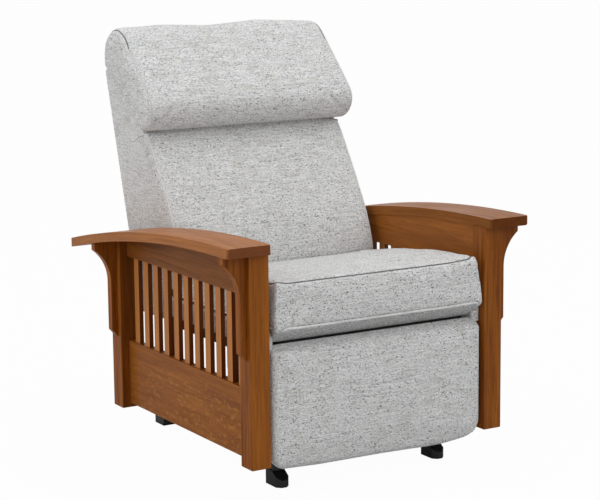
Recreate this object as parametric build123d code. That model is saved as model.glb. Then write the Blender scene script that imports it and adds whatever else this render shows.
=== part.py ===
from build123d import *
from cmath import phase, rect
from math import acos, cos, degrees, hypot, radians, tan
import os

# A mission armchair whose wooden sides, seat, back and footrest ride on a push-back
# reclining mechanism. +Z is up, the front faces -Y, and left is -X, seen from the front.
# All lengths are in millimetres and all angles in degrees.

# Overall sizes
chair_width = 880
chair_depth = 940
front_y = -chair_depth / 2
rear_y = chair_depth / 2

# Arm boards, bowed upwards from front to rear
arm_height = 636
arm_rear_overhang = 97
arm_width = 119.5
arm_thickness = 24.5
arm_apex_setback = 40
arm_rear_drop = 98.25
arm_corner_bevel = 4.5
arm_edge_round = 3

# Posts, rails and slats of the two sides
post_foot_height = 83
post_size = 54
post_inset = 69
post_edge_bevel = 2
front_post_setback = 19
rail_span = 656
rail_setback = 8
rail_thickness = 22
lower_rail_lift = 12.5
lower_rail_height = 174
window_height = 231
tenon_length = 18
tenon_thickness = 9
tenon_shoulder = 14
slat_count = 11
slat_width = 26
slat_thickness = 12
slat_tenon = 8

# Corbels under the arms, one on each post
corbel_thickness = 22
corbel_reach = 62
corbel_waist = 17.5
corbel_lip = 20
corbel_curve_drop = 89
corbel_drop = 261
corbel_cut = 20
corbel_curve_shares = (0.30, 0.40)

# Seat frame and springs
seat_rail_thickness = 23
seat_deck_height = 414
side_rail_height = 48
front_rail_height = 18
front_rail_rear_height = 34
front_rail_setback = 42
side_rail_notch = 43
side_rail_end_y = 118
rear_rail_front_y = 14
rear_rail_thickness = 22
spring_thickness = 4
spring_wire = 4
spring_bend_radius = 14
spring_bend_share = 0.45
spring_landing_share = 0.33
seat_spring_count = 5
seat_spring_swing_share = 0.30
back_spring_count = 5
back_spring_swing_share = 0.28

# Seat cushion
seat_half_width_top = 283
seat_half_width_bottom = 306
seat_front_top_setback = 17
seat_front_bottom_setback = 12
seat_rear_y = 36
seat_front_height = 538
seat_rear_height = 487
seat_crown = 20
seat_side_bow = 5
seat_front_bow = 14
seat_plan_round = 14
soft_gap = 0.5

# Back: the front and rear lines of its side, as heights and places along Y
back_half_width = 300
back_pivot_y = 90
back_pivot_height = 380
back_front_low_y = 38
back_front_low_height = 484
back_front_high_y = 216
back_front_high_height = 828
back_cushion_depth = 108
back_cushion_taper_share = 0.82
back_cushion_bottom = 432
back_cushion_toe_setback = 3
back_crown = 26
back_side_bow = 4
shell_top_drop = 9
shell_bottom_height = 340
shell_rear_low_y = 287
shell_low_front_y = 150
shell_mid_front_y = 139
shell_shoulder_depth = 32
shell_rear_thickness = 8
shell_side_thickness = 6
stile_thickness = 22
stile_gap = 14.4
back_rail_height = 60
back_rail_thickness = 20

# Head pillow, a roll over the top of the back
pillow_half_width = 319
pillow_crease_y = 234
pillow_crease_height = 834
pillow_front_y = 159
pillow_nose_corner_y = 103
pillow_top_corner_y = 350.5
pillow_top_height = 1107
pillow_rear_y = 442
pillow_nose_corner_rise_share = 0.07
pillow_top_corner_rise_share = 1.048
pillow_rear_corner_rise_share = 0.90
pillow_notch_rise_share = 0.586
pillow_nose_round_share = 0.775
pillow_top_round_share = 0.447
pillow_rear_round_share = 0.458
pillow_end_drop = 16
pillow_end_bow = 6
pillow_front_bow = 18
pillow_end_round = 34

# Mechanism plates, pins and lanes in which the links turn
plate_outer_x = 294
plate_thickness = 4
plate_bottom_height = 332
plate_top_height = 396
plate_front_y = -378
link_thickness = 4
link_width = 22
lane_gap = 0.4
pin_radius = 4
pin_clearance = 0.15
collar_radius = 7.5
drive_tube_radius = 9
drive_tube_wall = 2
recline_pin_radius = 7
recline_boss_radius = 20

# Footrest linkage: where the board hangs at rest and where it ends, fully raised
footrest_upper_pin_y = -374
footrest_upper_pin_height = 322
footrest_lower_pin_drop = 82
footrest_raised_end_y = -500
footrest_raised_height = 450
rear_link_length = 185
raised_half_angle = 18
outer_link_cross_share = 0.30
front_link_lever = 92
footrest_turn = 90

# Footrest pad and board
footrest_half_width = 309
footrest_bottom = 66
footrest_top = 380
footrest_front_y = -457
footrest_pad_depth = 46
footrest_front_bow = 7
footrest_edge_bow = 2
footrest_bottom_bow = 6
footrest_top_round = 16
footrest_bottom_round = 58
footrest_board_thickness = 18
footrest_board_margin = 17
bracket_width = 34
bracket_ear_margin = 13
bracket_ear_round = 11.7

# Base: two channels on four feet, in which the glide blocks of the chair run
channel_x = 235
channel_width = 30
channel_height = 40
channel_wall = 3
channel_length = 758
foot_height = 75
foot_width = 36
foot_length = 62
foot_toe_height = 18
foot_instep_height = 38
foot_neck_width = 28
foot_neck_length = 32
foot_toe_bevel = 11
foot_edge_bevel = 4
front_foot_y = -341
rear_foot_x = 205
rear_foot_y = 341
cross_tube_size = 25
cross_tube_wall = 2
front_tube_y = -330
rear_tube_y = 325
glide_travel = 100
glide_block_length = 60
glide_block_bevel = 6
front_block_y = -260
rear_block_y = 180
rear_hanger_top_y = 86
glide_clearance = 0.3
hanger_width = 46
hanger_thickness = 5
spigot_radius = 8
spigot_core_radius = 5

# How far a cutting tool runs past what it cuts
overrun = 20
reach = 2000

# Places worked out from the sizes above
arm_length = front_post_setback + 2 * post_size + rail_span + arm_rear_overhang
arm_outer_x = chair_width / 2
arm_inner_x = arm_outer_x - arm_width
post_outer_x = arm_outer_x - post_inset
post_inner_x = post_outer_x - post_size
front_post_y = front_y + front_post_setback
front_post_back_y = front_post_y + post_size
rear_post_y = front_post_back_y + rail_span
rail_inner_x = post_inner_x + rail_setback
rail_outer_x = rail_inner_x + rail_thickness
lower_rail_z = post_foot_height + lower_rail_lift
window_bottom_z = lower_rail_z + lower_rail_height
window_top_z = window_bottom_z + window_height
arm_apex_y = front_y + arm_apex_setback
arm_bow_run = arm_length - arm_apex_setback
arm_bow_radius = (arm_bow_run ** 2 + arm_rear_drop ** 2) / (2 * arm_rear_drop)
seat_rail_inner_x = post_inner_x - seat_rail_thickness
cushion_bottom = seat_deck_height + spring_thickness + soft_gap
pillow_height = pillow_top_height - pillow_crease_height
pillow_nose_corner_height = pillow_crease_height + pillow_nose_corner_rise_share * pillow_height
pillow_top_corner_height = pillow_crease_height + pillow_top_corner_rise_share * pillow_height
pillow_rear_corner_height = pillow_crease_height + pillow_rear_corner_rise_share * pillow_height
pillow_notch_height = pillow_crease_height + pillow_notch_rise_share * pillow_height
shell_top_height = pillow_notch_height - shell_top_drop
channel_front_y = front_block_y - glide_travel - glide_block_length / 2
cross_tube_bottom = foot_height + (channel_height - cross_tube_size) / 2
plate_inner_x = plate_outer_x - plate_thickness
lane_pitch = link_thickness + lane_gap

side_plane = Plane(origin=(0, 0, 0), x_dir=(0, 1, 0), z_dir=(1, 0, 0))
front_plane = Plane(origin=(0, 0, 0), x_dir=(1, 0, 0), z_dir=(0, -1, 0))


# Building blocks

def slab(x0, x1, y0, y1, z0, z1):
    """A rectangular bar between two corners."""
    return Pos((x0 + x1) / 2, (y0 + y1) / 2, (z0 + z1) / 2) * Box(x1 - x0, y1 - y0, z1 - z0)


def bowed_face(plane, corners, bows):
    """A face whose sides are straight, or bowed outwards by the length given for each."""
    edges = []
    for number, start in enumerate(corners):
        end = corners[(number + 1) % len(corners)]
        bow = bows[number]
        if bow == 0:
            edges.append(Line(start, end))
        else:
            run = (end[0] - start[0], end[1] - start[1])
            length = hypot(*run)
            middle_x = (start[0] + end[0]) / 2 + bow * run[1] / length
            middle_y = (start[1] + end[1]) / 2 - bow * run[0] / length
            edges.append(ThreePointArc(start, (middle_x, middle_y), end))
    return plane * make_face(edges)


def polygon(plane, corners):
    return bowed_face(plane, corners, [0] * len(corners))


def side_board(corners, x0, x1):
    """A board that stands in the side view, from x0 to x1."""
    return extrude(polygon(side_plane.offset(x0), corners), amount=x1 - x0)


def cross_pin(point, radius, x0, x1):
    """A round bar along X, at a point given as (y, z)."""
    centre = Pos((x0 + x1) / 2, point[0], point[1])
    return centre * Rot(0, 90, 0) * Cylinder(radius, x1 - x0)


def mirrored(solid):
    return mirror(solid, about=Plane.YZ)


def save(name, *solids):
    shape = solids[0] if len(solids) == 1 else Compound(children=list(solids))
    export_step(shape, "parts/" + name + ".step")


def save_pair(name, solid):
    save(name + "_right", solid)
    save(name + "_left", mirrored(solid))


# Wooden sides

def arm_top_at(y):
    drop = arm_bow_radius - (arm_bow_radius ** 2 - (y - arm_apex_y) ** 2) ** 0.5
    return arm_height - drop


def arm_bottom_at(y):
    return arm_top_at(y) - arm_thickness


def arm_curve(y0, y1, height_at):
    middle = (y0 + y1) / 2
    return ThreePointArc((y0, height_at(y0)), (middle, height_at(middle)), (y1, height_at(y1)))


def arm():
    y0 = front_y
    y1 = front_y + arm_length
    top = arm_curve(y0, y1, arm_top_at)
    bottom = arm_curve(y0, y1, arm_bottom_at)
    rear = Line((y1, arm_bottom_at(y1)), (y1, arm_top_at(y1)))
    front = Line((y0, arm_bottom_at(y0)), (y0, arm_top_at(y0)))
    face = side_plane.offset(arm_inner_x) * make_face([top, rear, bottom, front])
    board = extrude(face, amount=arm_width)
    front_corners = board.edges().filter_by(Axis.Z).group_by(Axis.Y)[0]
    board = chamfer(front_corners, arm_corner_bevel)
    upper = board.faces().sort_by(Axis.Z)[-1]
    return fillet(upper.edges(), arm_edge_round)


def under_arm(solid, y0, y1):
    """Cut a solid away above the curved underside of the arm."""
    low = y0 - overrun
    high = y1 + overrun
    curve = arm_curve(low, high, arm_bottom_at)
    top = arm_height + overrun
    walls = [
        Line((high, arm_bottom_at(high)), (high, top)),
        Line((high, top), (low, top)),
        Line((low, top), (low, arm_bottom_at(low))),
    ]
    face = side_plane.offset(-reach) * make_face([curve] + walls)
    return solid - extrude(face, amount=2 * reach)


def rail_tenons(z0, z1):
    """The two tenons of a side rail, which enter the posts."""
    middle = (rail_inner_x + rail_outer_x) / 2
    x0 = middle - tenon_thickness / 2
    x1 = middle + tenon_thickness / 2
    front = slab(x0, x1, front_post_back_y - tenon_length, front_post_back_y, z0, z1)
    rear = slab(x0, x1, rear_post_y, rear_post_y + tenon_length, z0, z1)
    return front + rear


def lower_tenons():
    z0 = lower_rail_z + tenon_shoulder
    z1 = window_bottom_z - tenon_shoulder
    return rail_tenons(z0, z1)


def upper_tenons():
    z0 = window_top_z + tenon_shoulder
    z1 = arm_bottom_at(rear_post_y + tenon_length) - tenon_shoulder / 2
    return rail_tenons(z0, z1)


def post(y0):
    y1 = y0 + post_size
    tall = slab(post_inner_x, post_outer_x, y0, y1, post_foot_height, arm_height)
    tall = chamfer(tall.edges().filter_by(Axis.Z), post_edge_bevel)
    tall = chamfer(tall.faces().sort_by(Axis.Z)[0].edges(), post_edge_bevel)
    return under_arm(tall, y0, y1) - lower_tenons() - upper_tenons()


def slat_places():
    gap = (rail_span - slat_count * slat_width) / (slat_count + 1)
    return [front_post_back_y + gap + n * (slat_width + gap) for n in range(slat_count)]


def slats():
    middle = (rail_inner_x + rail_outer_x) / 2
    x0 = middle - slat_thickness / 2
    x1 = middle + slat_thickness / 2
    z0 = window_bottom_z - slat_tenon
    z1 = window_top_z + slat_tenon
    return [slab(x0, x1, y, y + slat_width, z0, z1) for y in slat_places()]


def lower_rail():
    board = slab(rail_inner_x, rail_outer_x, front_post_back_y, rear_post_y, lower_rail_z, window_bottom_z)
    return board + lower_tenons() - slats()


def upper_rail():
    board = slab(rail_inner_x, rail_outer_x, front_post_back_y, rear_post_y, window_top_z, arm_height)
    return under_arm(board, front_post_back_y, rear_post_y) + upper_tenons() - slats()


def corbel(y_middle):
    top = arm_bottom_at(y_middle)
    overtop = top + overrun / 2
    share_out, share_down = corbel_curve_shares
    waist_z = top - corbel_lip - corbel_curve_drop
    curve_x = post_outer_x + corbel_waist + share_out * (corbel_reach - corbel_waist)
    curve_z = top - corbel_lip - share_down * corbel_curve_drop
    tip = (post_outer_x + corbel_reach, top - corbel_lip)
    waist = (post_outer_x + corbel_waist, waist_z)
    foot = (post_outer_x + corbel_waist, top - corbel_drop + corbel_cut)
    corner = (post_outer_x, top - corbel_drop)
    edges = [
        Line((post_outer_x, overtop), (post_outer_x + corbel_reach, overtop)),
        Line((post_outer_x + corbel_reach, overtop), tip),
        ThreePointArc(tip, (curve_x, curve_z), waist),
        Line(waist, foot),
        Line(foot, corner),
        Line(corner, (post_outer_x, overtop)),
    ]
    y0 = y_middle - corbel_thickness / 2
    y1 = y_middle + corbel_thickness / 2
    board = extrude(front_plane.offset(-y1) * make_face(edges), amount=corbel_thickness)
    return under_arm(board, y0, y1)


def save_sides():
    save_pair("arm", arm())
    save_pair("front_post", post(front_post_y))
    save_pair("rear_post", post(rear_post_y))
    save_pair("lower_rail", lower_rail())
    save_pair("upper_rail", upper_rail())
    save("slats_right", *slats())
    save("slats_left", *[mirrored(slat) for slat in slats()])
    save_pair("front_corbel", corbel(front_post_y + post_size / 2))
    save_pair("rear_corbel", corbel(rear_post_y + post_size / 2))


# Seat frame, springs and cushion

def seat_front_rail_y():
    return front_y + front_rail_setback


def seat_side_rail():
    front = seat_front_rail_y()
    bottom = seat_deck_height - side_rail_height
    step = seat_deck_height - front_rail_height
    corners = [
        (side_rail_end_y, bottom),
        (side_rail_end_y, seat_deck_height),
        (front, seat_deck_height),
        (front, step),
        (front + side_rail_notch, step),
        (front + side_rail_notch, bottom),
    ]
    return side_board(corners, seat_rail_inner_x, post_inner_x)


def seat_front_rail():
    y0 = seat_front_rail_y()
    y1 = y0 + seat_rail_thickness
    section = polygon(side_plane, [
        (y0, seat_deck_height - front_rail_height),
        (y1, seat_deck_height - front_rail_rear_height),
        (y1, seat_deck_height),
        (y0, seat_deck_height),
    ])
    return extrude(section, amount=seat_rail_inner_x, both=True)


def seat_rear_rail():
    y1 = rear_rail_front_y + rear_rail_thickness
    z0 = plate_top_height + lane_gap
    return slab(-seat_rail_inner_x, seat_rail_inner_x, rear_rail_front_y, y1, z0, seat_deck_height)


def zigzag(length, half_swing, plane):
    """A sinuous spring: a wire that swings from side to side along its length."""
    bends = round(length / (2 * spring_bend_radius))
    step = length / bends
    points = [(0, 0)]
    for number in range(bends):
        side = half_swing if number % 2 == 0 else -half_swing
        points.append((number * step, side))
        points.append(((number + 1) * step, side))
    points.append((length, 0))
    line = FilletPolyline(*points, radius=spring_bend_share * step)
    face = plane * trace(line, spring_wire)
    return extrude(face, amount=spring_thickness)


def seat_springs():
    y0 = seat_front_rail_y() + spring_landing_share * seat_rail_thickness
    y1 = rear_rail_front_y + (1 - spring_landing_share) * rear_rail_thickness
    spacing = 2 * seat_rail_inner_x / seat_spring_count
    springs = []
    for number in range(seat_spring_count):
        x = (number - (seat_spring_count - 1) / 2) * spacing
        plane = Plane(origin=(x, y0, seat_deck_height), x_dir=(0, 1, 0), z_dir=(0, 0, 1))
        springs.append(zigzag(y1 - y0, seat_spring_swing_share * spacing, plane))
    return springs


def soft_block(side, front, plan):
    """What three bowed outlines leave, seen from the side, the front and above."""
    body = extrude(side, amount=reach, both=True)
    body = body & extrude(front, amount=reach, both=True)
    return body & extrude(plan, amount=reach, both=True)


def seat_cushion():
    front_top_y = front_y + seat_front_top_setback
    front_bottom_y = front_y + seat_front_bottom_setback
    side = bowed_face(side_plane, [
        (front_bottom_y, cushion_bottom),
        (seat_rear_y, cushion_bottom),
        (seat_rear_y, seat_rear_height),
        (front_top_y, seat_front_height),
    ], [0, 0, seat_crown, seat_front_bow])
    front = bowed_face(front_plane, [
        (-seat_half_width_bottom, cushion_bottom),
        (seat_half_width_bottom, cushion_bottom),
        (seat_half_width_top, seat_front_height),
        (-seat_half_width_top, seat_front_height),
    ], [0, seat_side_bow, seat_crown, seat_side_bow])
    wide = seat_half_width_bottom + seat_side_bow
    front_line = front_y
    plan = bowed_face(Plane.XY, [
        (-wide, front_line + seat_front_bow),
        (wide, front_line + seat_front_bow),
        (wide, seat_rear_y),
        (-wide, seat_rear_y),
    ], [seat_front_bow, -seat_side_bow, 0, -seat_side_bow])
    front_corners = plan.vertices().group_by(Axis.Y)[0]
    plan = fillet(front_corners, seat_plan_round)
    return soft_block(side, front, plan)


def save_seat():
    save_pair("seat_side_rail", seat_side_rail())
    save("seat_front_rail", seat_front_rail())
    save("seat_rear_rail", seat_rear_rail())
    save("seat_springs", *seat_springs())
    save("seat_cushion", seat_cushion())


# Back: plywood stiles, cross rails and springs in a padded shell, with cushion and pillow

def back_slope():
    rise = back_front_high_height - back_front_low_height
    return (back_front_high_y - back_front_low_y) / rise


def shell_rear_at(z):
    share = (z - shell_bottom_height) / (shell_top_height - shell_bottom_height)
    return shell_rear_low_y + share * (rear_y - shell_rear_low_y)


def cushion_rear_slope():
    return back_slope() * back_cushion_taper_share


def cushion_rear_at(z):
    low = back_front_low_y + back_cushion_depth
    return low + (z - back_front_low_height) * cushion_rear_slope()


def pillow_floor_at(y):
    """Height of the slanting underside of the pillow."""
    share = (y - pillow_crease_y) / (pillow_rear_y - pillow_crease_y)
    return pillow_crease_height + share * (pillow_notch_height - pillow_crease_height)


def cushion_top_rear():
    """Where the rear of the back cushion meets the underside of the pillow."""
    lean = cushion_rear_slope()
    floor_slope = (pillow_notch_height - pillow_crease_height) / (pillow_rear_y - pillow_crease_y)
    at_crease = pillow_floor_at(cushion_rear_at(pillow_crease_height)) - soft_gap
    rise = (at_crease - pillow_crease_height) / (1 - lean * floor_slope)
    height = pillow_crease_height + rise
    return (cushion_rear_at(height), height)


def back_cushion():
    top_rear = cushion_top_rear()
    top_front = (back_front_high_y + 2 * soft_gap, back_front_high_height)
    side = bowed_face(side_plane, [
        (back_front_low_y + back_cushion_toe_setback, back_cushion_bottom),
        (cushion_rear_at(back_cushion_bottom), back_cushion_bottom),
        top_rear,
        (pillow_crease_y, pillow_floor_at(pillow_crease_y) - soft_gap),
        top_front,
        (back_front_low_y, back_front_low_height),
    ], [0, 0, 0, 0, back_crown, 0])
    front = bowed_face(front_plane, [
        (-back_half_width, back_cushion_bottom),
        (back_half_width, back_cushion_bottom),
        (back_half_width, shell_top_height),
        (-back_half_width, shell_top_height),
    ], [0, -back_side_bow, 0, -back_side_bow])
    across = bowed_face(Plane.XY, [
        (-back_half_width, 0),
        (back_half_width, 0),
        (back_half_width, reach),
        (-back_half_width, reach),
    ], [back_crown, 0, 0, 0])
    return extrude(side, amount=reach, both=True) & extrude(front, amount=reach, both=True) & along_back(across)


def along_back(face):
    """Sweep a plan face along the sloping front line of the back."""
    origin = Vector(0, back_front_low_y, back_front_low_height)
    slope = Vector(0, back_slope(), 1)
    tall = extrude(Pos(0, origin.Y, origin.Z) * face, amount=reach, dir=slope)
    low = extrude(Pos(0, origin.Y, origin.Z) * face, amount=reach, dir=slope * -1)
    return tall + low


def rounding(before, corner, after, share):
    """Radius at a corner whose rounding takes a share of the shorter run beside it."""
    run_in = Vector(before) - Vector(corner)
    run_out = Vector(after) - Vector(corner)
    run = share * min(run_in.length, run_out.length)
    return run * tan(radians(run_in.get_angle(run_out) / 2))


def head_pillow():
    crease = (pillow_crease_y, pillow_crease_height)
    nose = (pillow_nose_corner_y, pillow_nose_corner_height)
    top = (pillow_top_corner_y, pillow_top_corner_height)
    rear = (pillow_rear_y, pillow_rear_corner_height)
    notch = (pillow_rear_y - soft_gap, pillow_notch_height)
    rounds = [
        rounding(crease, nose, top, pillow_nose_round_share),
        rounding(nose, top, rear, pillow_top_round_share),
        rounding(top, rear, notch, pillow_rear_round_share),
    ]
    roll = FilletPolyline(crease, nose, top, rear, notch, radius=rounds)
    side = side_plane * make_face([*roll.edges(), Line(notch, crease)])
    top_end = pillow_top_height - pillow_end_drop
    front_view = bowed_face(front_plane, [
        (-pillow_half_width + pillow_end_bow, pillow_crease_height - pillow_end_bow),
        (pillow_half_width - pillow_end_bow, pillow_crease_height - pillow_end_bow),
        (pillow_half_width - pillow_end_bow, top_end),
        (-pillow_half_width + pillow_end_bow, top_end),
    ], [0, pillow_end_bow, pillow_end_drop, pillow_end_bow])
    front_view = fillet(front_view.vertices().group_by(Axis.Z)[-1], pillow_end_round)
    plan = bowed_face(Plane.XY, [
        (-pillow_half_width, pillow_front_y + pillow_front_bow),
        (pillow_half_width, pillow_front_y + pillow_front_bow),
        (pillow_half_width, pillow_rear_y + overrun),
        (-pillow_half_width, pillow_rear_y + overrun),
    ], [pillow_front_bow + overrun, 0, 0, 0])
    plan = fillet(plan.vertices().group_by(Axis.Y)[0], pillow_end_round)
    return soft_block(side, front_view, plan)


def shell_corners(rear_inset, top_inset):
    """The side view of the outer back, with its rear and top moved inwards."""
    top_rear = cushion_top_rear()
    shoulder_y = rear_y - shell_shoulder_depth
    return [
        (shell_low_front_y, shell_bottom_height),
        (shell_rear_low_y - rear_inset, shell_bottom_height),
        (rear_y - rear_inset, shell_top_height - top_inset),
        (shoulder_y, pillow_floor_at(shoulder_y) - soft_gap - top_inset),
        (top_rear[0] + soft_gap, pillow_floor_at(top_rear[0] + soft_gap) - soft_gap - top_inset),
        (cushion_rear_at(back_front_low_height) + soft_gap, back_front_low_height),
        (shell_mid_front_y, back_cushion_bottom),
    ]


def back_shell():
    outer = side_board(shell_corners(0, 0), -back_half_width, back_half_width)
    half = back_half_width - shell_side_thickness
    corners = [
        (-reach, -reach),
        (shell_rear_at(-reach) - shell_rear_thickness, -reach),
        (shell_rear_at(shell_top_height) - shell_rear_thickness, shell_top_height),
        (shell_rear_at(shell_top_height) - shell_rear_thickness, reach),
        (-reach, reach),
    ]
    return outer - side_board(corners, -half, half)


def spring_front_at(z):
    return cushion_rear_at(z) + soft_gap


def stile_front_at(z):
    """Front edge of the stiles, on which the springs lie square to the slope."""
    return spring_front_at(z) + spring_thickness * hypot(1, cushion_rear_slope())


def stile():
    outer_x = back_half_width - stile_gap
    low = shell_bottom_height + spring_thickness
    high = shell_top_height - back_rail_height / 2
    top_front = cushion_top_rear()[1] - back_rail_height / 4
    corners = [
        (shell_low_front_y + spring_thickness, low),
        (shell_rear_at(low) - shell_rear_thickness, low),
        (shell_rear_at(high) - shell_rear_thickness, high),
        (stile_front_at(top_front) + back_rail_height / 2, top_front + back_rail_height / 2),
        (stile_front_at(top_front), top_front),
        (stile_front_at(back_cushion_bottom), back_cushion_bottom),
    ]
    return side_board(corners, outer_x - stile_thickness, outer_x)


def back_cross_rails():
    """Bars between the stiles, let against the inside of the rear panel."""
    inner_x = back_half_width - stile_gap - stile_thickness
    bottom = shell_bottom_height + 2 * spring_thickness
    top = shell_top_height - back_rail_height / 2 - back_rail_height
    middle = (bottom + top) / 2
    rails = []
    for z in (bottom, middle, top):
        rear_low = shell_rear_at(z) - shell_rear_thickness
        rear_high = shell_rear_at(z + back_rail_height) - shell_rear_thickness
        corners = [
            (rear_low - back_rail_thickness, z),
            (rear_low, z),
            (rear_high, z + back_rail_height),
            (rear_high - back_rail_thickness, z + back_rail_height),
        ]
        rails.append(side_board(corners, -inner_x, inner_x))
    return rails


def back_springs():
    """Sinuous springs from stile to stile, on the stiles' front edges."""
    half = back_half_width - stile_gap - stile_thickness / 2
    low = back_cushion_bottom + back_rail_height / 2
    high = cushion_top_rear()[1] - back_rail_height
    slope = Vector(0, cushion_rear_at(high) - cushion_rear_at(low), high - low).normalized()
    normal = Vector(0, slope.Z, -slope.Y)
    spacing = (high - low) / back_spring_count
    springs = []
    for number in range(back_spring_count):
        z = low + (number + 0.5) * spacing
        plane = Plane(origin=(-half, stile_front_at(z), z), x_dir=(1, 0, 0), z_dir=normal * -1)
        springs.append(zigzag(2 * half, back_spring_swing_share * spacing, plane))
    return springs


def recline_bracket():
    """Steel plate that hangs the back's stile on the recline pin."""
    x1 = plate_inner_x - lane_gap
    x0 = back_half_width - stile_gap
    pivot = (back_pivot_y, back_pivot_height)
    arm_z0 = back_pivot_height - recline_boss_radius
    arm_z1 = back_pivot_height + recline_boss_radius
    rear = shell_rear_at(arm_z0) - shell_rear_thickness - overrun
    corners = [
        (back_pivot_y, arm_z0),
        (rear, arm_z0),
        (rear, arm_z1 + recline_boss_radius),
        (stile_front_at(arm_z1) + overrun, arm_z1 + recline_boss_radius),
        (back_pivot_y, arm_z1),
    ]
    plate = side_board(corners, x0, x1) + cross_pin(pivot, recline_boss_radius, x0, x1)
    return plate - cross_pin(pivot, recline_pin_radius + pin_clearance, x0 - overrun, x1 + overrun)


def save_back():
    save("back_cushion", back_cushion())
    save("head_pillow", head_pillow())
    save("back_shell", back_shell())
    save_pair("back_stile", stile())
    save("back_cross_rails", *back_cross_rails())
    save("back_springs", *back_springs())
    save_pair("recline_bracket", recline_bracket())


# Footrest linkage. Places in the side view are complex numbers, y + z * 1j.

def turned(vector, angle):
    return vector * rect(1, radians(angle))


def bearing(vector):
    return degrees(phase(vector)) % 360


def linkage():
    """Pins of the raising linkage at rest and raised, and how far each link turns."""
    upper = complex(footrest_upper_pin_y, footrest_upper_pin_height)
    lower = upper - footrest_lower_pin_drop * 1j
    raised_upper = complex(
        footrest_raised_end_y - (footrest_top - footrest_upper_pin_height),
        footrest_raised_height - (footrest_upper_pin_y - footrest_front_y),
    )
    raised_lower = raised_upper + turned(lower - upper, -footrest_turn)
    path = raised_upper - upper
    course = bearing(path)
    half_share = cos(radians(raised_half_angle)) - abs(path) / (2 * rear_link_length)
    rest_half_angle = degrees(acos(half_share))
    anchor = upper - 2 * rear_link_length * half_share * rect(1, radians(course))
    knee = anchor + rect(rear_link_length, radians(course + rest_half_angle))
    raised_knee = anchor + rect(rear_link_length, radians(course + raised_half_angle))
    swing = raised_half_angle - rest_half_angle

    cross = knee + outer_link_cross_share * (upper - knee)
    raised_cross = raised_knee + outer_link_cross_share * (raised_upper - raised_knee)
    step = (raised_cross - cross) / abs(raised_cross - cross)
    pivot = (cross + raised_cross) / 2 - front_link_lever * step * 1j
    front_swing = bearing(raised_cross - pivot) - bearing(cross - pivot)
    direction = (cross - pivot) / abs(cross - pivot)
    returned = pivot + turned(raised_lower - pivot, -front_swing)
    across = returned - lower
    middle = (returned + lower) / 2
    offset = middle - pivot
    length = (offset * across.conjugate()).real / (direction * across.conjugate()).real
    toe = pivot + length * direction
    raised_toe = pivot + turned(length * direction, front_swing)
    inner_swing = bearing(raised_lower - raised_toe) - bearing(lower - toe)
    return {
        "anchor": anchor, "knee": knee, "upper": upper, "lower": lower, "cross": cross,
        "pivot": pivot, "toe": toe, "swing": swing, "front_swing": front_swing,
        "inner_swing": inner_swing,
    }


def spot(place):
    return (place.real, place.imag)


def lane(number):
    """The two faces, along X, of a lane in which a link turns."""
    outer = plate_inner_x - lane_gap - (number - 1) * lane_pitch
    return outer - link_thickness, outer


def link(places, holes, number):
    """A flat link with round ends through its places, with a hole of each radius."""
    x0, x1 = lane(number)
    start = places[0]
    end = places[-1]
    along = (end - start) / abs(end - start) * (link_width / 2)
    sideways = along * 1j
    corners = [spot(start - sideways), spot(end - sideways), spot(end + sideways), spot(start + sideways)]
    body = side_board(corners, x0, x1)
    for place in (start, end):
        body = body + cross_pin(spot(place), link_width / 2, x0, x1)
    for place, radius in zip(places, holes):
        body = body - cross_pin(spot(place), radius, x0 - overrun, x1 + overrun)
    return body


def save_linkage(pins):
    loose = pin_radius + pin_clearance
    save_pair("rear_link", link([pins["anchor"], pins["knee"]], [drive_tube_radius, pin_radius], 1))
    save_pair("outer_link", link([pins["knee"], pins["cross"], pins["upper"]], [loose] * 3, 2))
    front_holes = [loose, pin_radius, pin_radius]
    save_pair("front_link", link([pins["pivot"], pins["cross"], pins["toe"]], front_holes, 3))
    save_pair("inner_link", link([pins["toe"], pins["lower"]], [loose, loose], 4))
    save("drive_tube", drive_tube(pins))
    save_rivets(pins)


def drive_tube(pins):
    """Torque tube that ties both rear links and turns in the two plates."""
    place = spot(pins["anchor"])
    outside = cross_pin(place, drive_tube_radius, -plate_outer_x, plate_outer_x)
    return outside - cross_pin(place, drive_tube_radius - drive_tube_wall, -reach, reach)


def save_rivets(pins):
    knee = cross_pin(spot(pins["knee"]), pin_radius, lane(2)[0], lane(1)[1])
    toe = cross_pin(spot(pins["toe"]), pin_radius, lane(4)[0], lane(3)[1])
    stub = cross_pin(spot(pins["cross"]), pin_radius, *lane(3))
    save("rear_link_rivets", knee, mirrored(knee))
    save("front_link_rivets", toe, stub, mirrored(toe), mirrored(stub))


# Footrest board, pad and brackets

def footrest_pad():
    front = footrest_front_y
    back = front + footrest_pad_depth
    side = bowed_face(side_plane, [
        (front + footrest_front_bow, footrest_bottom),
        (back, footrest_bottom),
        (back, footrest_top),
        (front + footrest_front_bow, footrest_top),
    ], [0, 0, 0, footrest_front_bow])
    side = fillet(side.vertices().group_by(Axis.Y)[0], footrest_top_round)
    front_view = bowed_face(front_plane, [
        (-footrest_half_width, footrest_bottom),
        (footrest_half_width, footrest_bottom),
        (footrest_half_width, footrest_top),
        (-footrest_half_width, footrest_top),
    ], [footrest_bottom_bow, footrest_edge_bow, footrest_edge_bow, footrest_edge_bow])
    front_view = fillet(front_view.vertices().group_by(Axis.Z)[0], footrest_bottom_round)
    front_view = fillet(front_view.vertices().group_by(Axis.Z)[-1], footrest_top_round)
    plan = bowed_face(Plane.XY, [
        (-footrest_half_width, front + footrest_front_bow),
        (footrest_half_width, front + footrest_front_bow),
        (footrest_half_width, back),
        (-footrest_half_width, back),
    ], [footrest_front_bow, 0, 0, 0])
    plan = fillet(plan.vertices().group_by(Axis.Y)[0], footrest_top_round)
    return soft_block(side, front_view, plan)


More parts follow.
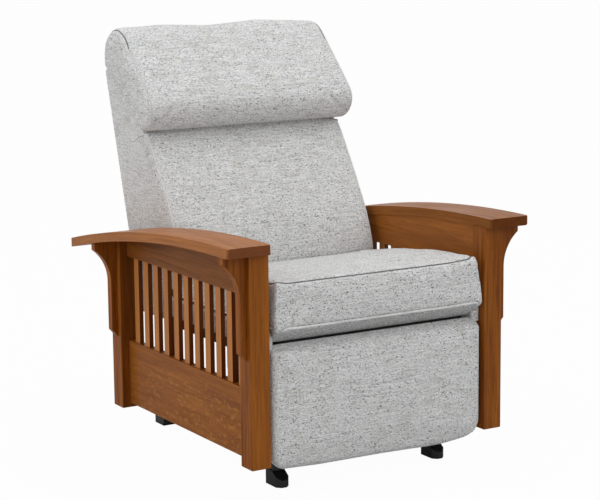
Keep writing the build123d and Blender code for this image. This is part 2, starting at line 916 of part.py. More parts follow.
def footrest_board():
    y0 = footrest_front_y + footrest_pad_depth
    half = footrest_half_width - footrest_board_margin
    z0 = footrest_bottom + footrest_board_margin
    z1 = footrest_top - footrest_board_margin
    board = slab(-half, half, y0, y0 + footrest_board_thickness, z0, z1)
    lower_corners = board.edges().filter_by(Axis.Y).group_by(Axis.Z)[0]
    return fillet(lower_corners, footrest_bottom_round - footrest_board_margin)


def footrest_bracket(pins):
    """Angle bracket: a flange on the board and an ear in the innermost lane."""
    x0, x1 = lane(5)
    board_y = footrest_front_y + footrest_pad_depth + footrest_board_thickness
    ear_y = footrest_upper_pin_y + bracket_ear_margin
    z0 = footrest_upper_pin_height - footrest_lower_pin_drop - bracket_ear_margin
    z1 = footrest_upper_pin_height + bracket_ear_margin
    ear = slab(x0, x1, board_y, ear_y, z0, z1)
    rear_corners = ear.edges().filter_by(Axis.X).group_by(Axis.Y)[-1]
    ear = fillet(rear_corners, bracket_ear_round)
    flange = slab(x1 - bracket_width, x1, board_y, board_y + link_thickness, z0, z1)
    plate = ear + flange
    for pin in ("upper", "lower"):
        plate = plate - cross_pin(spot(pins[pin]), pin_radius, x0 - overrun, x1 + overrun)
    return plate


def bracket_rivets(pins):
    x0, x1 = lane(5)
    upper = spot(pins["upper"])
    collar = cross_pin(upper, collar_radius, x1, lane(3)[1])
    shank = cross_pin(upper, pin_radius, x0, lane(2)[1])
    stub = cross_pin(spot(pins["lower"]), pin_radius, x0, x1)
    pin = collar + shank
    return [pin, stub, mirrored(pin), mirrored(stub)]


def save_footrest(pins):
    save("footrest_pad", footrest_pad())
    save("footrest_board", footrest_board())
    save_pair("footrest_bracket", footrest_bracket(pins))
    save("bracket_rivets", *bracket_rivets(pins))


# Mechanism plates, hangers and glide blocks of the chair

def mechanism_plate(pins):
    """Steel side plate: a long bar with drop arms to the pins of the footrest links."""
    bar = [
        (plate_front_y, plate_bottom_height),
        (side_rail_end_y - link_thickness, plate_bottom_height),
        (side_rail_end_y - link_thickness, plate_top_height),
        (plate_front_y, plate_top_height),
    ]
    plate = side_board(bar, plate_inner_x, plate_outer_x)
    tube_hole = drive_tube_radius + pin_clearance
    for name, radius in (("anchor", tube_hole), ("pivot", pin_radius)):
        place = pins[name]
        drop = slab(
            plate_inner_x, plate_outer_x,
            place.real - link_width, place.real + link_width,
            place.imag, plate_bottom_height + overrun,
        )
        plate = plate + drop + cross_pin(spot(place), link_width, plate_inner_x, plate_outer_x)
        plate = plate - cross_pin(spot(place), radius, plate_inner_x - overrun, plate_outer_x + overrun)
    pivot = (back_pivot_y, back_pivot_height)
    return plate - cross_pin(pivot, recline_pin_radius, plate_inner_x - overrun, plate_outer_x + overrun)


def plate_pins(pins):
    """Shouldered pins of the front links and the two recline pins."""
    place = spot(pins["pivot"])
    collar = cross_pin(place, collar_radius, lane(2)[0] - lane_gap / 2, plate_inner_x)
    shank = cross_pin(place, pin_radius, lane(3)[0], plate_outer_x)
    recline = cross_pin((back_pivot_y, back_pivot_height), recline_pin_radius,
                        back_half_width - stile_gap, plate_outer_x)
    pin = collar + shank
    return [pin, recline, mirrored(pin), mirrored(recline)]


def channel_floor():
    return foot_height + channel_wall


def channel_middle():
    return foot_height + channel_height / 2


def hanger(top_y, y):
    """Flat steel hanger with a welded spigot that carries a glide block."""
    x0 = plate_outer_x
    x1 = plate_outer_x + hanger_thickness
    half = hanger_width / 2
    z1 = seat_deck_height - side_rail_height
    corners = [
        (y - half, channel_middle()),
        (y + half, channel_middle()),
        (top_y + half, plate_bottom_height),
        (top_y + half, z1),
        (top_y - half, z1),
        (top_y - half, plate_bottom_height),
    ]
    leg = side_board(corners, x0, x1)
    leg = leg + cross_pin((y, channel_middle()), hanger_width / 2, x0, x1)
    block_x = channel_x + channel_width / 2
    spigot = cross_pin((y, channel_middle()), spigot_radius, block_x, x0)
    core = cross_pin((y, channel_middle()), spigot_core_radius, channel_x, block_x)
    return leg + spigot + core


def glide_block(y):
    x0 = channel_x - channel_width / 2 + channel_wall + glide_clearance
    x1 = channel_x + channel_width / 2
    z0 = channel_floor() + glide_clearance
    z1 = foot_height + channel_height - channel_wall - glide_clearance
    block = slab(x0, x1, y - glide_block_length / 2, y + glide_block_length / 2, z0, z1)
    block = chamfer(block.edges().filter_by(Axis.X), glide_block_bevel)
    return block - cross_pin((y, channel_middle()), spigot_core_radius, channel_x, x1 + overrun)


def save_carriage(pins):
    save_pair("mechanism_plate", mechanism_plate(pins))
    save("plate_pins", *plate_pins(pins))
    hangers = [hanger(front_block_y, front_block_y), hanger(rear_hanger_top_y, rear_block_y)]
    blocks = [glide_block(front_block_y), glide_block(rear_block_y)]
    save("hangers", *hangers, *[mirrored(part) for part in hangers])
    save("glide_blocks", *blocks, *[mirrored(part) for part in blocks])


# Base

def base_channel():
    """Steel channel, open outwards, on the feet of one side."""
    x0 = channel_x - channel_width / 2
    x1 = channel_x + channel_width / 2
    z0 = foot_height
    z1 = foot_height + channel_height
    y1 = channel_front_y + channel_length
    solid = slab(x0, x1, channel_front_y, y1, z0, z1)
    hollow = slab(x0 + channel_wall, x1 + overrun, channel_front_y - overrun, y1 + overrun,
                  z0 + channel_wall, z1 - channel_wall)
    return solid - hollow


def foot(x, y, toe, top):
    """Moulded shoe: a sole with bevelled toe, a sloping instep and a neck over its heel."""
    heel = y - toe * foot_length / 2
    tip = y + toe * foot_length / 2
    instep = heel + toe * foot_neck_length
    side = polygon(side_plane.offset(x), [
        (heel, 0),
        (tip, 0),
        (tip, foot_toe_height),
        (instep, foot_instep_height),
        (heel, foot_instep_height),
    ])
    shoe = extrude(side, amount=foot_width / 2, both=True)
    toe_edges = shoe.edges().filter_by(Axis.Z).group_by(Axis.Y)[0 if toe < 0 else -1]
    shoe = chamfer(toe_edges, foot_toe_bevel)
    neck_height = top - foot_instep_height
    neck = Pos(x, (heel + instep) / 2, foot_instep_height + neck_height / 2)
    neck = neck * Box(foot_neck_width, foot_neck_length, neck_height)
    neck = chamfer(neck.edges().filter_by(Axis.Z), foot_edge_bevel)
    return shoe + neck


def cross_tubes():
    half = channel_x - channel_width / 2
    z0 = cross_tube_bottom
    tubes = []
    for y in (front_tube_y, rear_tube_y):
        y0 = y - cross_tube_size / 2
        outside = slab(-half, half, y0, y0 + cross_tube_size, z0, z0 + cross_tube_size)
        inside = slab(-half - overrun, half + overrun,
                      y0 + cross_tube_wall, y0 + cross_tube_size - cross_tube_wall,
                      z0 + cross_tube_wall, z0 + cross_tube_size - cross_tube_wall)
        tubes.append(outside - inside)
    return tubes


def save_base():
    save_pair("base_channel", base_channel())
    save_pair("front_foot", foot(channel_x, front_foot_y, -1, foot_height))
    save_pair("rear_foot", foot(rear_foot_x, rear_foot_y, 1, cross_tube_bottom))
    save("base_cross_tubes", *cross_tubes())


def print_joints(pins):
    """Places and ranges of the joints, for the record."""
    follow = pins["swing"]
    print("drive", spot(pins["anchor"]), "range", -follow)
    print("knee", spot(pins["knee"]), "turn", 2 * follow, "ratio", -2)
    tilt = -footrest_turn + follow
    print("upper", spot(pins["upper"]), "turn", tilt, "ratio", tilt / follow)
    print("front pivot", spot(pins["pivot"]), "turn", pins["front_swing"], "ratio", pins["front_swing"] / follow)
    inner = pins["inner_swing"] - pins["front_swing"]
    print("toe", spot(pins["toe"]), "turn", inner, "ratio", inner / follow)


os.makedirs("parts", exist_ok=True)
link_pins = linkage()
print_joints(link_pins)
save_sides()
save_seat()
save_back()
save_linkage(link_pins)
save_footrest(link_pins)
save_carriage(link_pins)
save_base()
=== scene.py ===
import math

import bmesh
import bpy
import numpy as np
from mathutils import Matrix, Vector
from mathutils.bvhtree import BVHTree
from mathutils.kdtree import KDTree


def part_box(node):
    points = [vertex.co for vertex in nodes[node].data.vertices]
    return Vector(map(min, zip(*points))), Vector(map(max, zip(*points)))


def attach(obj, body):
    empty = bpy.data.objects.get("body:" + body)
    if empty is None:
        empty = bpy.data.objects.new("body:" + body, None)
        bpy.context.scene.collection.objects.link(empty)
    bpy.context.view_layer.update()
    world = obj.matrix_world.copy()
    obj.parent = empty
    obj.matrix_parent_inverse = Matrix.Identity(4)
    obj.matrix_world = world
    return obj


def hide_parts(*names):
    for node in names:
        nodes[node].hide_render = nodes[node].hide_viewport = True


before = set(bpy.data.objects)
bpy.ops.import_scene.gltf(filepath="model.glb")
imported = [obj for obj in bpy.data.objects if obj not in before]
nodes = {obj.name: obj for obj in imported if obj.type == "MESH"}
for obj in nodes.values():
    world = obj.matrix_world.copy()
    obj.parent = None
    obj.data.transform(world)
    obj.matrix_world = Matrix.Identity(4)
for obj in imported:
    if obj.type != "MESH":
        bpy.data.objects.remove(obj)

scene = bpy.context.scene
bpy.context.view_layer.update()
mm = 0.001

# The view. The chair stands on a plain pale floor and is seen from its front left, from a
# little above the arms, through a long lens that keeps its sides nearly parallel.
picture_width = 600
focal_length_pixels = 1949.7
film_width = 36.0
heading = math.radians(-30.86)
dip = math.radians(10.15)
roll = math.radians(-0.594)
camera_place = Vector((-2.5871, -4.3948, 1.4376))
picture_centre_shift = -0.0028

ahead = Vector((
    -math.sin(heading) * math.cos(dip),
    math.cos(heading) * math.cos(dip),
    -math.sin(dip),
))
level = ahead.cross(Vector((0, 0, 1))).normalized()
upright = level.cross(ahead)
across = level * math.cos(roll) + upright * math.sin(roll)
upward = upright * math.cos(roll) - level * math.sin(roll)
camera = bpy.data.objects.new("camera", bpy.data.cameras.new("camera"))
scene.collection.objects.link(camera)
camera.data.sensor_width = film_width
camera.data.lens = focal_length_pixels * film_width / picture_width
camera.data.shift_y = picture_centre_shift
camera.matrix_world = Matrix((
    (across.x, upward.x, -ahead.x, camera_place.x),
    (across.y, upward.y, -ahead.y, camera_place.y),
    (across.z, upward.z, -ahead.z, camera_place.z),
    (0, 0, 0, 1),
))
scene.camera = camera
scene.view_settings.view_transform = "Standard"


def new_material(name):
    """An empty material, its shader and a short way to add and join nodes."""
    material = bpy.data.materials.new(name)
    material.use_nodes = True
    tree = material.node_tree
    shader = tree.nodes["Principled BSDF"]

    def add(kind, **settings):
        node = tree.nodes.new("ShaderNode" + kind)
        for key, value in settings.items():
            if hasattr(node, key):
                setattr(node, key, value)
            else:
                node.inputs[key].default_value = value
        return node

    def join(output, socket):
        tree.links.new(output, socket)
        return output

    return material, shader, add, join


def lamp(name, place, target, size, watts):
    light = bpy.data.lights.new(name, "AREA")
    light.energy = watts
    light.size = size
    lamp_object = bpy.data.objects.new(name, light)
    scene.collection.objects.link(lamp_object)
    lamp_object.location = place
    way = Vector(target) - Vector(place)
    lamp_object.rotation_euler = way.to_track_quat("-Z", "Y").to_euler()


world = bpy.data.worlds.new("studio")
scene.world = world
world.use_nodes = True
world_nodes = world.node_tree.nodes
world_links = world.node_tree.links
surround = world_nodes["Background"]
surround.inputs["Color"].default_value = (1, 1, 1, 1)
surround.inputs["Strength"].default_value = 0.72
backdrop_white = world_nodes.new("ShaderNodeBackground")
backdrop_white.inputs["Color"].default_value = (1, 1, 1, 1)
backdrop_white.inputs["Strength"].default_value = 1.0
rays = world_nodes.new("ShaderNodeLightPath")
seen = world_nodes.new("ShaderNodeMath")
seen.operation = "MAXIMUM"
world_links.new(rays.outputs["Is Camera Ray"], seen.inputs[0])
world_links.new(rays.outputs["Is Transmission Ray"], seen.inputs[1])
seen_or_mirrored = world_nodes.new("ShaderNodeMath")
seen_or_mirrored.operation = "MAXIMUM"
world_links.new(seen.outputs[0], seen_or_mirrored.inputs[0])
world_links.new(rays.outputs["Is Glossy Ray"], seen_or_mirrored.inputs[1])
world_mix = world_nodes.new("ShaderNodeMixShader")
world_links.new(seen_or_mirrored.outputs[0], world_mix.inputs[0])
world_links.new(surround.outputs[0], world_mix.inputs[1])
world_links.new(backdrop_white.outputs[0], world_mix.inputs[2])
world_links.new(world_mix.outputs[0], world_nodes["World Output"].inputs["Surface"])

seat_middle = (0, 0, 0.6)
lamp("top_light", (0.3, -0.4, 4.2), seat_middle, size=2.8, watts=42)
lamp("left_light", (-4.2, 0.2, 2.1), seat_middle, size=2.2, watts=31)
lamp("right_light", (1.2, -4.0, 3.3), seat_middle, size=1.8, watts=19)

floor_reach = 30
floor_mesh = bpy.data.meshes.new("floor")
floor_mesh.from_pydata(
    [(-floor_reach, -floor_reach, 0), (floor_reach, -floor_reach, 0),
     (floor_reach, floor_reach, 0), (-floor_reach, floor_reach, 0)],
    [], [(0, 1, 2, 3)],
)
floor = bpy.data.objects.new("floor", floor_mesh)
scene.collection.objects.link(floor)
floor_finish, floor_shader, add, join = new_material("pale_floor")
floor_shader.inputs["Base Color"].default_value = (0.60, 0.60, 0.60, 1)
floor_shader.inputs["Roughness"].default_value = 0.9
floor_rays = add("LightPath")
floor_share = add("Math", operation="MULTIPLY")
floor_share.inputs[1].default_value = 0.97
join(floor_rays.outputs["Is Camera Ray"], floor_share.inputs[0])
floor_white = add("Emission")
floor_mix = add("MixShader")
join(floor_share.outputs[0], floor_mix.inputs[0])
join(floor_shader.outputs[0], floor_mix.inputs[1])
join(floor_white.outputs[0], floor_mix.inputs[2])
join(floor_mix.outputs[0], floor_finish.node_tree.nodes["Material Output"].inputs["Surface"])
floor_mesh.materials.append(floor_finish)


# Arm boards. Each is one wide oak board bowed along its length, with clipped front corners
# and softened edges, fixed down over the posts and corbels. Its grain runs from
# front to rear and bends with the bow, and the satin lacquer catches the light on its top.
arm_bow_radius = 3.64
arm_apex_y = -0.43
oak_dark = (0.062, 0.0110, 0.0012, 1)
oak_middle = (0.200, 0.054, 0.0040, 1)
oak_light = (0.32, 0.102, 0.0105, 1)
oak_ray = (0.40, 0.155, 0.026, 1)
oak_tan = (0.24, 0.105, 0.034, 1)


def stained_oak(
    name, grain, shift, depth=0.5, flecks=0.0, bowed=False, tone=1.0, facing_light_and_shade=0.0, gloss=0.12,
    wiped=0.0,
):
    """Quarter-sawn oak under orange-brown stain: streaks and pores along the grain, then rays.

    The tone lightens or darkens a whole board. The facing share paints shade on the faces that
    look to the front and the rear, and paints them paler, as painted light, where it is negative;
    wiped leaves a share of tan. These, and the gloss, were set board by board until the opening
    view looked like the photograph."""
    material, shader, add, join = new_material(name)
    coordinates = add("TexCoord")
    place = coordinates.outputs["Object"]
    if bowed:
        axes = add("SeparateXYZ")
        join(place, axes.inputs[0])
        run = add("Math", operation="SUBTRACT")
        join(axes.outputs["Y"], run.inputs[0])
        run.inputs[1].default_value = arm_apex_y
        square = add("Math", operation="POWER")
        join(run.outputs[0], square.inputs[0])
        square.inputs[1].default_value = 2
        drop = add("Math", operation="MULTIPLY")
        join(square.outputs[0], drop.inputs[0])
        drop.inputs[1].default_value = 0.5 / arm_bow_radius
        height = add("Math", operation="ADD")
        join(axes.outputs["Z"], height.inputs[0])
        join(drop.outputs[0], height.inputs[1])
        straight = add("CombineXYZ")
        join(axes.outputs["X"], straight.inputs["X"])
        join(axes.outputs["Y"], straight.inputs["Y"])
        join(height.outputs[0], straight.inputs["Z"])
        place = straight.outputs[0]

    def along(fineness, stretch):
        """Places squeezed along the grain, so that a pattern there draws out into streaks."""
        mapping = add("Mapping")
        size = [fineness] * 3
        size["XYZ".index(grain)] = fineness / stretch
        mapping.inputs["Scale"].default_value = size
        mapping.inputs["Location"].default_value = [fineness * part for part in shift]
        join(place, mapping.inputs["Vector"])
        return mapping.outputs[0]

    def pattern(fineness, stretch, detail, low, high, first=0.0, last=1.0):
        noise = add("TexNoise", Detail=detail, Roughness=0.6, Distortion=0.25)
        noise.inputs["Scale"].default_value = 1.0
        join(along(fineness, stretch), noise.inputs["Vector"])
        spread = add("MapRange")
        spread.interpolation_type = "SMOOTHSTEP"
        spread.inputs["From Min"].default_value = low
        spread.inputs["From Max"].default_value = high
        spread.inputs["To Min"].default_value = first
        spread.inputs["To Max"].default_value = last
        join(noise.outputs["Fac"], spread.inputs["Value"])
        return spread.outputs[0]

    def blend(share, first, second, kind="MIX"):
        mix = add("Mix", data_type="RGBA", blend_type=kind)
        for value, number in ((share, 0), (first, 6), (second, 7)):
            if isinstance(value, (float, tuple)):
                mix.inputs[number].default_value = value
            else:
                join(value, mix.inputs[number])
        return mix.outputs[2]

    broad = pattern(22, 9, 2, 0.28, 0.72)
    streak = pattern(150, 28, 3, 0.34, 0.70)
    pore = pattern(900, 26, 2, 0.56, 0.72)
    colour = blend(broad, oak_middle, oak_light)
    colour = blend(pattern(60, 16, 2, 0.35, 0.75, 0.0, 0.75), colour, oak_middle)
    stain = blend(pattern(150, 28, 3, 0.42, 0.72, 0.0, depth), colour, oak_dark)
    stain = blend(pattern(900, 26, 2, 0.54, 0.74, 0.0, 0.55), stain, oak_dark)
    if grain == "Z":
        stain = blend(pattern(330, 60, 2, 0.50, 0.66, 0.0, 0.45), stain, oak_dark)
    facing = add("SeparateXYZ")
    join(coordinates.outputs["Normal"], facing.inputs[0])
    if bowed:
        outer = add("Math", operation="ABSOLUTE")
        join(facing.outputs["X"], outer.inputs[0])
        growth = add("Math", operation="MULTIPLY")
        join(outer.outputs[0], growth.inputs[0])
        join(pattern(170, 70, 2, 0.46, 0.60, 0.0, 0.30), growth.inputs[1])
        stain = blend(growth.outputs[0], stain, oak_dark)
    if flecks:
        parts = add("SeparateXYZ")
        join(place, parts.inputs[0])
        ray_share = pattern(125, 2.4, 2, 0.54, 0.62, 0.0, flecks)
        low_down = ("Z", 0.205, 0.262)
        well_forward = ("Y", -0.02, 0.42)
        for part, full_at, none_at in (low_down, well_forward):
            zone = add("MapRange")
            zone.inputs["From Min"].default_value = none_at
            zone.inputs["From Max"].default_value = full_at
            join(parts.outputs[part], zone.inputs["Value"])
            shown = add("Math", operation="MULTIPLY")
            join(ray_share, shown.inputs[0])
            join(zone.outputs[0], shown.inputs[1])
            ray_share = shown.outputs[0]
        stain = blend(ray_share, stain, oak_ray)
    if wiped:
        stain = blend(wiped, stain, oak_tan)
    # Paler edges: partly rubbed-through stain, partly a painted highlight where the edges catch
    # the light.
    edge = add("Bevel", samples=4)
    edge.inputs["Radius"].default_value = 1.6 * mm
    flat = add("NewGeometry")
    turn = add("VectorMath", operation="DOT_PRODUCT")
    join(edge.outputs[0], turn.inputs[0])
    join(flat.outputs["Normal"], turn.inputs[1])
    edge_wear_and_highlight = add("MapRange")
    edge_wear_and_highlight.inputs["From Min"].default_value = 0.995
    edge_wear_and_highlight.inputs["From Max"].default_value = 0.90
    edge_wear_and_highlight.inputs["To Max"].default_value = 0.35
    join(turn.outputs["Value"], edge_wear_and_highlight.inputs["Value"])
    stain = blend(edge_wear_and_highlight.outputs[0], stain, oak_ray)
    # Painted shade and light: faces that look to the front and the rear are darkened, or made
    # paler where the share is negative, by the way they face.
    front_on = add("Math", operation="ABSOLUTE")
    join(facing.outputs["Y"], front_on.inputs[0])
    facing_light_and_shade_share = add("MapRange")
    facing_light_and_shade_share.inputs["From Min"].default_value = 0.55
    facing_light_and_shade_share.inputs["From Max"].default_value = 0.85
    facing_light_and_shade_share.inputs["To Max"].default_value = abs(facing_light_and_shade)
    join(front_on.outputs[0], facing_light_and_shade_share.inputs["Value"])
    stain = blend(facing_light_and_shade_share.outputs[0], stain, oak_dark if facing_light_and_shade > 0 else oak_light)
    stain = blend(1.0, stain, (tone, tone, tone, 1), "MULTIPLY")
    join(stain, shader.inputs["Base Color"])

    rough = add("MapRange")
    rough.inputs["To Min"].default_value = 0.34
    rough.inputs["To Max"].default_value = 0.50
    join(streak, rough.inputs["Value"])
    join(rough.outputs[0], shader.inputs["Roughness"])
    relief = add("Math", operation="ADD")
    join(streak, relief.inputs[0])
    join(pore, relief.inputs[1])
    bump = add("Bump", invert=True)
    bump.inputs["Strength"].default_value = 0.25
    bump.inputs["Distance"].default_value = 0.35 * mm
    join(relief.outputs[0], bump.inputs["Height"])
    join(edge.outputs[0], bump.inputs["Normal"])
    join(bump.outputs[0], shader.inputs["Normal"])
    shader.inputs["Specular IOR Level"].default_value = gloss
    shader.inputs["Coat Weight"].default_value = 0.03
    shader.inputs["Coat Roughness"].default_value = 0.28
    return material


def finish_node(name, material):
    """Gives a construction piece its material."""
    node = nodes[name]
    node.data.materials.clear()
    node.data.materials.append(material)


for number, (side, tone, gloss) in enumerate((("left", 1.50, 0.2), ("right", 1.10, 0.05))):
    finish_node("arm_" + side, stained_oak(
        "arm_oak_" + side, "Y", (0.31 + number, 0.2, 0.13), depth=0.42, bowed=True, tone=tone,
        facing_light_and_shade=0.7, gloss=gloss, wiped=0.35,
    ))


# Posts. Four square oak legs, their grain upright, mortised for the rails and bevelled at their
# edges. They end 83 mm above the floor, because the steel base carries the whole wooden chair.
# Painted light and shade on the faces that look to the front and the rear: paler on the front
# posts, darker on the rear ones.
front_face_shares = {
    "front_post_left": -0.35, "front_post_right": -0.08,
    "rear_post_left": 0.4, "rear_post_right": 0.4,
}
for number, (name, facing_light_and_shade) in enumerate(front_face_shares.items()):
    finish_node(name, stained_oak(
        name + "_oak", "Z", (0.7 * number, 0.4 * number, 0.3), depth=0.55, tone=1.12, facing_light_and_shade=facing_light_and_shade,
    ))


# Side rails. A deep lower rail and an upper rail cut to the arm's bow join the posts of each
# side. The lower one is a quarter-sawn board and shows its rays as pale wandering flecks.
for number, (side, upper_tone) in enumerate((("left", 0.88), ("right", 1.30))):
    finish_node("lower_rail_" + side, stained_oak(
        "lower_rail_oak_" + side, "Y", (0.2, 0.9 * number, 0.5), depth=0.30, flecks=0.62,
        tone=1.12, wiped=0.15,
    ))
    finish_node("upper_rail_" + side, stained_oak(
        "upper_rail_oak_" + side, "Y", (0.6, 0.4, 0.8 + number), depth=0.40, tone=upper_tone,
        wiped=0.2,
    ))


# Slats. Eleven thin oak slats a side stand in mortises of the two rails, a little more than a
# slat's width apart. Their grain is upright, and their tone is lighter than that of the posts.
# The slats' faces towards the front and the rear get strong painted shade.
for number, side in enumerate(("left", "right")):
    finish_node("slats_" + side, stained_oak(
        "slat_oak_" + side, "Z", (0.1, 0.35 + number, 0.9), depth=0.32, tone=1.95, facing_light_and_shade=0.92,
        wiped=0.6,
    ))


# Corbels. A sawn bracket with a hollow front curve is fixed to the outside of each post and
# carries the overhang of the arm.
for number, name in enumerate((
    "front_corbel_left", "front_corbel_right", "rear_corbel_left", "rear_corbel_right",
)):
    finish_node(name, stained_oak(
        name + "_oak", "Z", (0.45, 0.25 * number, 0.15 * number), tone=1.2, facing_light_and_shade=0.2,
    ))


# Seat cushion. A boxed foam cushion in grey tweed, with a seam round the top edge of its
# boxing and a thicker welt round the bottom edge. It lies loose between the two arms.
thread_pale = (0.92, 0.92, 0.915, 1)
thread_base = (0.74, 0.742, 0.74, 1)
thread_grey = (0.34, 0.35, 0.355, 1)
thread_dark = (0.05, 0.05, 0.055, 1)
thread_tan = (0.58, 0.545, 0.45, 1)


def tweed(name, shift, speck=1.0, tone=1.0):
    """Light grey tweed: threads laid across the chair, with dark, tan and pale slubs.

    The speck gives its share of dark slubs, and the tone lightens or darkens it as a whole."""
    material, shader, add, join = new_material(name)
    place = add("TexCoord").outputs["Object"]
    flat = add("NewGeometry")
    facing = add("SeparateXYZ")
    join(flat.outputs["Normal"], facing.inputs[0])
    sideways = add("Math", operation="ABSOLUTE")
    join(facing.outputs["X"], sideways.inputs[0])
    on_side = add("Math", operation="GREATER_THAN")
    on_side.inputs[1].default_value = 0.72
    join(sideways.outputs[0], on_side.inputs[0])

    def threads(fineness, draw):
        """Places drawn out along the thread, which runs across the front and along the sides."""
        ways = []
        for size in ((fineness / draw, fineness, fineness), (fineness, fineness / draw, fineness)):
            mapping = add("Mapping")
            mapping.inputs["Scale"].default_value = size
            mapping.inputs["Location"].default_value = shift
            join(place, mapping.inputs["Vector"])
            ways.append(mapping.outputs[0])
        mix = add("Mix", data_type="VECTOR")
        join(on_side.outputs[0], mix.inputs[0])
        join(ways[0], mix.inputs[4])
        join(ways[1], mix.inputs[5])
        return mix.outputs[1]

    def slubs(fineness, draw, low, high, last, detail=2.0):
        noise = add("TexNoise", Detail=detail, Roughness=0.65)
        noise.inputs["Scale"].default_value = 1.0
        join(threads(fineness, draw), noise.inputs["Vector"])
        spread = add("MapRange")
        spread.inputs["From Min"].default_value = low
        spread.inputs["From Max"].default_value = high
        spread.inputs["To Max"].default_value = last
        join(noise.outputs["Fac"], spread.inputs["Value"])
        return spread.outputs[0]

    def dye(share, first, second):
        mix = add("Mix", data_type="RGBA")
        join(share, mix.inputs[0])
        for value, number in ((first, 6), (second, 7)):
            if isinstance(value, tuple):
                mix.inputs[number].default_value = value
            else:
                join(value, mix.inputs[number])
        return mix.outputs[2]

    pale = slubs(520, 3.0, 0.42, 0.62, 0.9)
    colour = dye(pale, thread_base, thread_pale)
    colour = dye(slubs(36, 1.6, 0.5, 0.72, 0.35), colour, thread_tan)
    colour = dye(slubs(300, 12, 0.50, 0.66, 0.34), colour, thread_grey)
    colour = dye(slubs(420, 26, 0.50, 0.62, 0.30), colour, thread_grey)
    colour = dye(slubs(560, 3.0, 0.53, 0.64, 0.75 * speck), colour, thread_grey)
    colour = dye(slubs(400, 2.0, 0.63, 0.655, 0.95 * speck, 1.0), colour, thread_dark)
    shade = add("Mix", data_type="RGBA", blend_type="MULTIPLY")
    shade.inputs[0].default_value = 1.0
    join(colour, shade.inputs[6])
    shade.inputs[7].default_value = (tone, tone, tone, 1)
    join(shade.outputs[2], shader.inputs["Base Color"])
    weave = slubs(1100, 2.0, 0.3, 0.7, 1.0)
    relief = add("Math", operation="ADD")
    join(weave, relief.inputs[0])
    join(pale, relief.inputs[1])
    bump = add("Bump")
    bump.inputs["Strength"].default_value = 0.55
    bump.inputs["Distance"].default_value = 0.9 * mm
    join(relief.outputs[0], bump.inputs["Height"])
    join(bump.outputs[0], shader.inputs["Normal"])
    shader.inputs["Roughness"].default_value = 0.92
    shader.inputs["Specular IOR Level"].default_value = 0.08
    shader.inputs["Sheen Weight"].default_value = 0.05
    shader.inputs["Sheen Roughness"].default_value = 0.6
    return material


fabric = tweed("grey_tweed", (0, 0, 0))
# A paler copy of the tweed: painted highlight for the welts, seam ridges and folds that catch the
# light.
lit_tweed = tweed("tweed_with_painted_highlight", (0.3, 0.1, 0.2), speck=0.12, tone=1.06)
# A darker copy of the tweed: painted shade for the cloth under the cushion.
painted_shade_tweed = tweed("tweed_with_painted_shade", (0.1, 0.2, 0.3), speck=1.4, tone=0.74)


def settle(piece):
    """Works the modifiers of a piece into its mesh."""
    bpy.context.view_layer.update()
    worked = piece.evaluated_get(bpy.context.evaluated_depsgraph_get())
    shape = bpy.data.meshes.new_from_object(worked)
    piece.modifiers.clear()
    piece.data = shape


def places_of(piece):
    places = np.empty(len(piece.data.vertices) * 3)
    piece.data.vertices.foreach_get("co", places)
    return places.reshape(-1, 3)


def put_places(piece, places):
    piece.data.vertices.foreach_set("co", places.ravel())
    piece.data.update()


def outward(piece):
    normals = np.empty(len(piece.data.vertices) * 3)
    piece.data.vertices.foreach_get("normal", normals)
    return normals.reshape(-1, 3)


def spread_points(corners, pitch=4 * mm):
    """Points a few millimetres apart along a line through the corners."""
    points = []
    for start, end in zip(corners[:-1], corners[1:]):
        start = Vector(start)
        end = Vector(end)
        count = max(1, round((end - start).length / pitch))
        for step in range(count):
            points.append(start.lerp(end, step / count))
    points.append(Vector(corners[-1]))
    return points


def distance_from(lines, places):
    """How far each place is from the nearest point of the lines."""
    points = [point for line in lines for point in line]
    tree = KDTree(len(points))
    for number, point in enumerate(points):
        tree.insert(point, number)
    tree.balance()
    return np.array([tree.find(place)[2] for place in places])


def block(outline, stations):
    """A closed mesh through copies of a side outline.

    Each station gives the copy's place across and how far its outline is drawn in."""
    points = np.array(outline)
    following = np.roll(points, -1, axis=0)
    way = following - np.roll(points, 1, axis=0)
    way /= np.linalg.norm(way, axis=1)[:, None]
    turn = np.sum(points[:, 0] * following[:, 1] - points[:, 1] * following[:, 0])
    inwards = np.stack([-way[:, 1], way[:, 0]], axis=1) * math.copysign(1, turn)
    form = bmesh.new()
    rings = []
    for x, inset in stations:
        rings.append([form.verts.new((x, y, z)) for y, z in points + inwards * inset])
    for ring, next_ring in zip(rings[:-1], rings[1:]):
        for number in range(len(ring)):
            other = (number + 1) % len(ring)
            form.faces.new((ring[number], ring[other], next_ring[other], next_ring[number]))
    form.faces.new(rings[0])
    form.faces.new(list(reversed(rings[-1])))
    bmesh.ops.recalc_face_normals(form, faces=form.faces[:])
    shape = bpy.data.meshes.new("block")
    form.to_mesh(shape)
    form.free()
    return shape


def soft_form(name, shapes, voxel):
    """One closed, evenly meshed piece from the shapes that its filling is made of."""
    form = bmesh.new()
    for shape in shapes:
        form.from_mesh(shape)
    merged = bpy.data.meshes.new(name)
    form.to_mesh(merged)
    form.free()
    piece = bpy.data.objects.new(name, merged)
    scene.collection.objects.link(piece)
    remesh = piece.modifiers.new("even_mesh", "REMESH")
    remesh.mode = "VOXEL"
    remesh.voxel_size = voxel
    settle(piece)
    return piece


def ease(piece, rounds=4):
    """Softens a soft piece and gives it twice as fine a mesh."""
    smooth = piece.modifiers.new("smooth", "SMOOTH")
    smooth.factor = 0.5
    smooth.iterations = rounds
    fine = piece.modifiers.new("fine", "SUBSURF")
    fine.levels = 1
    fine.render_levels = 1
    settle(piece)
    for polygon in piece.data.polygons:
        polygon.use_smooth = True


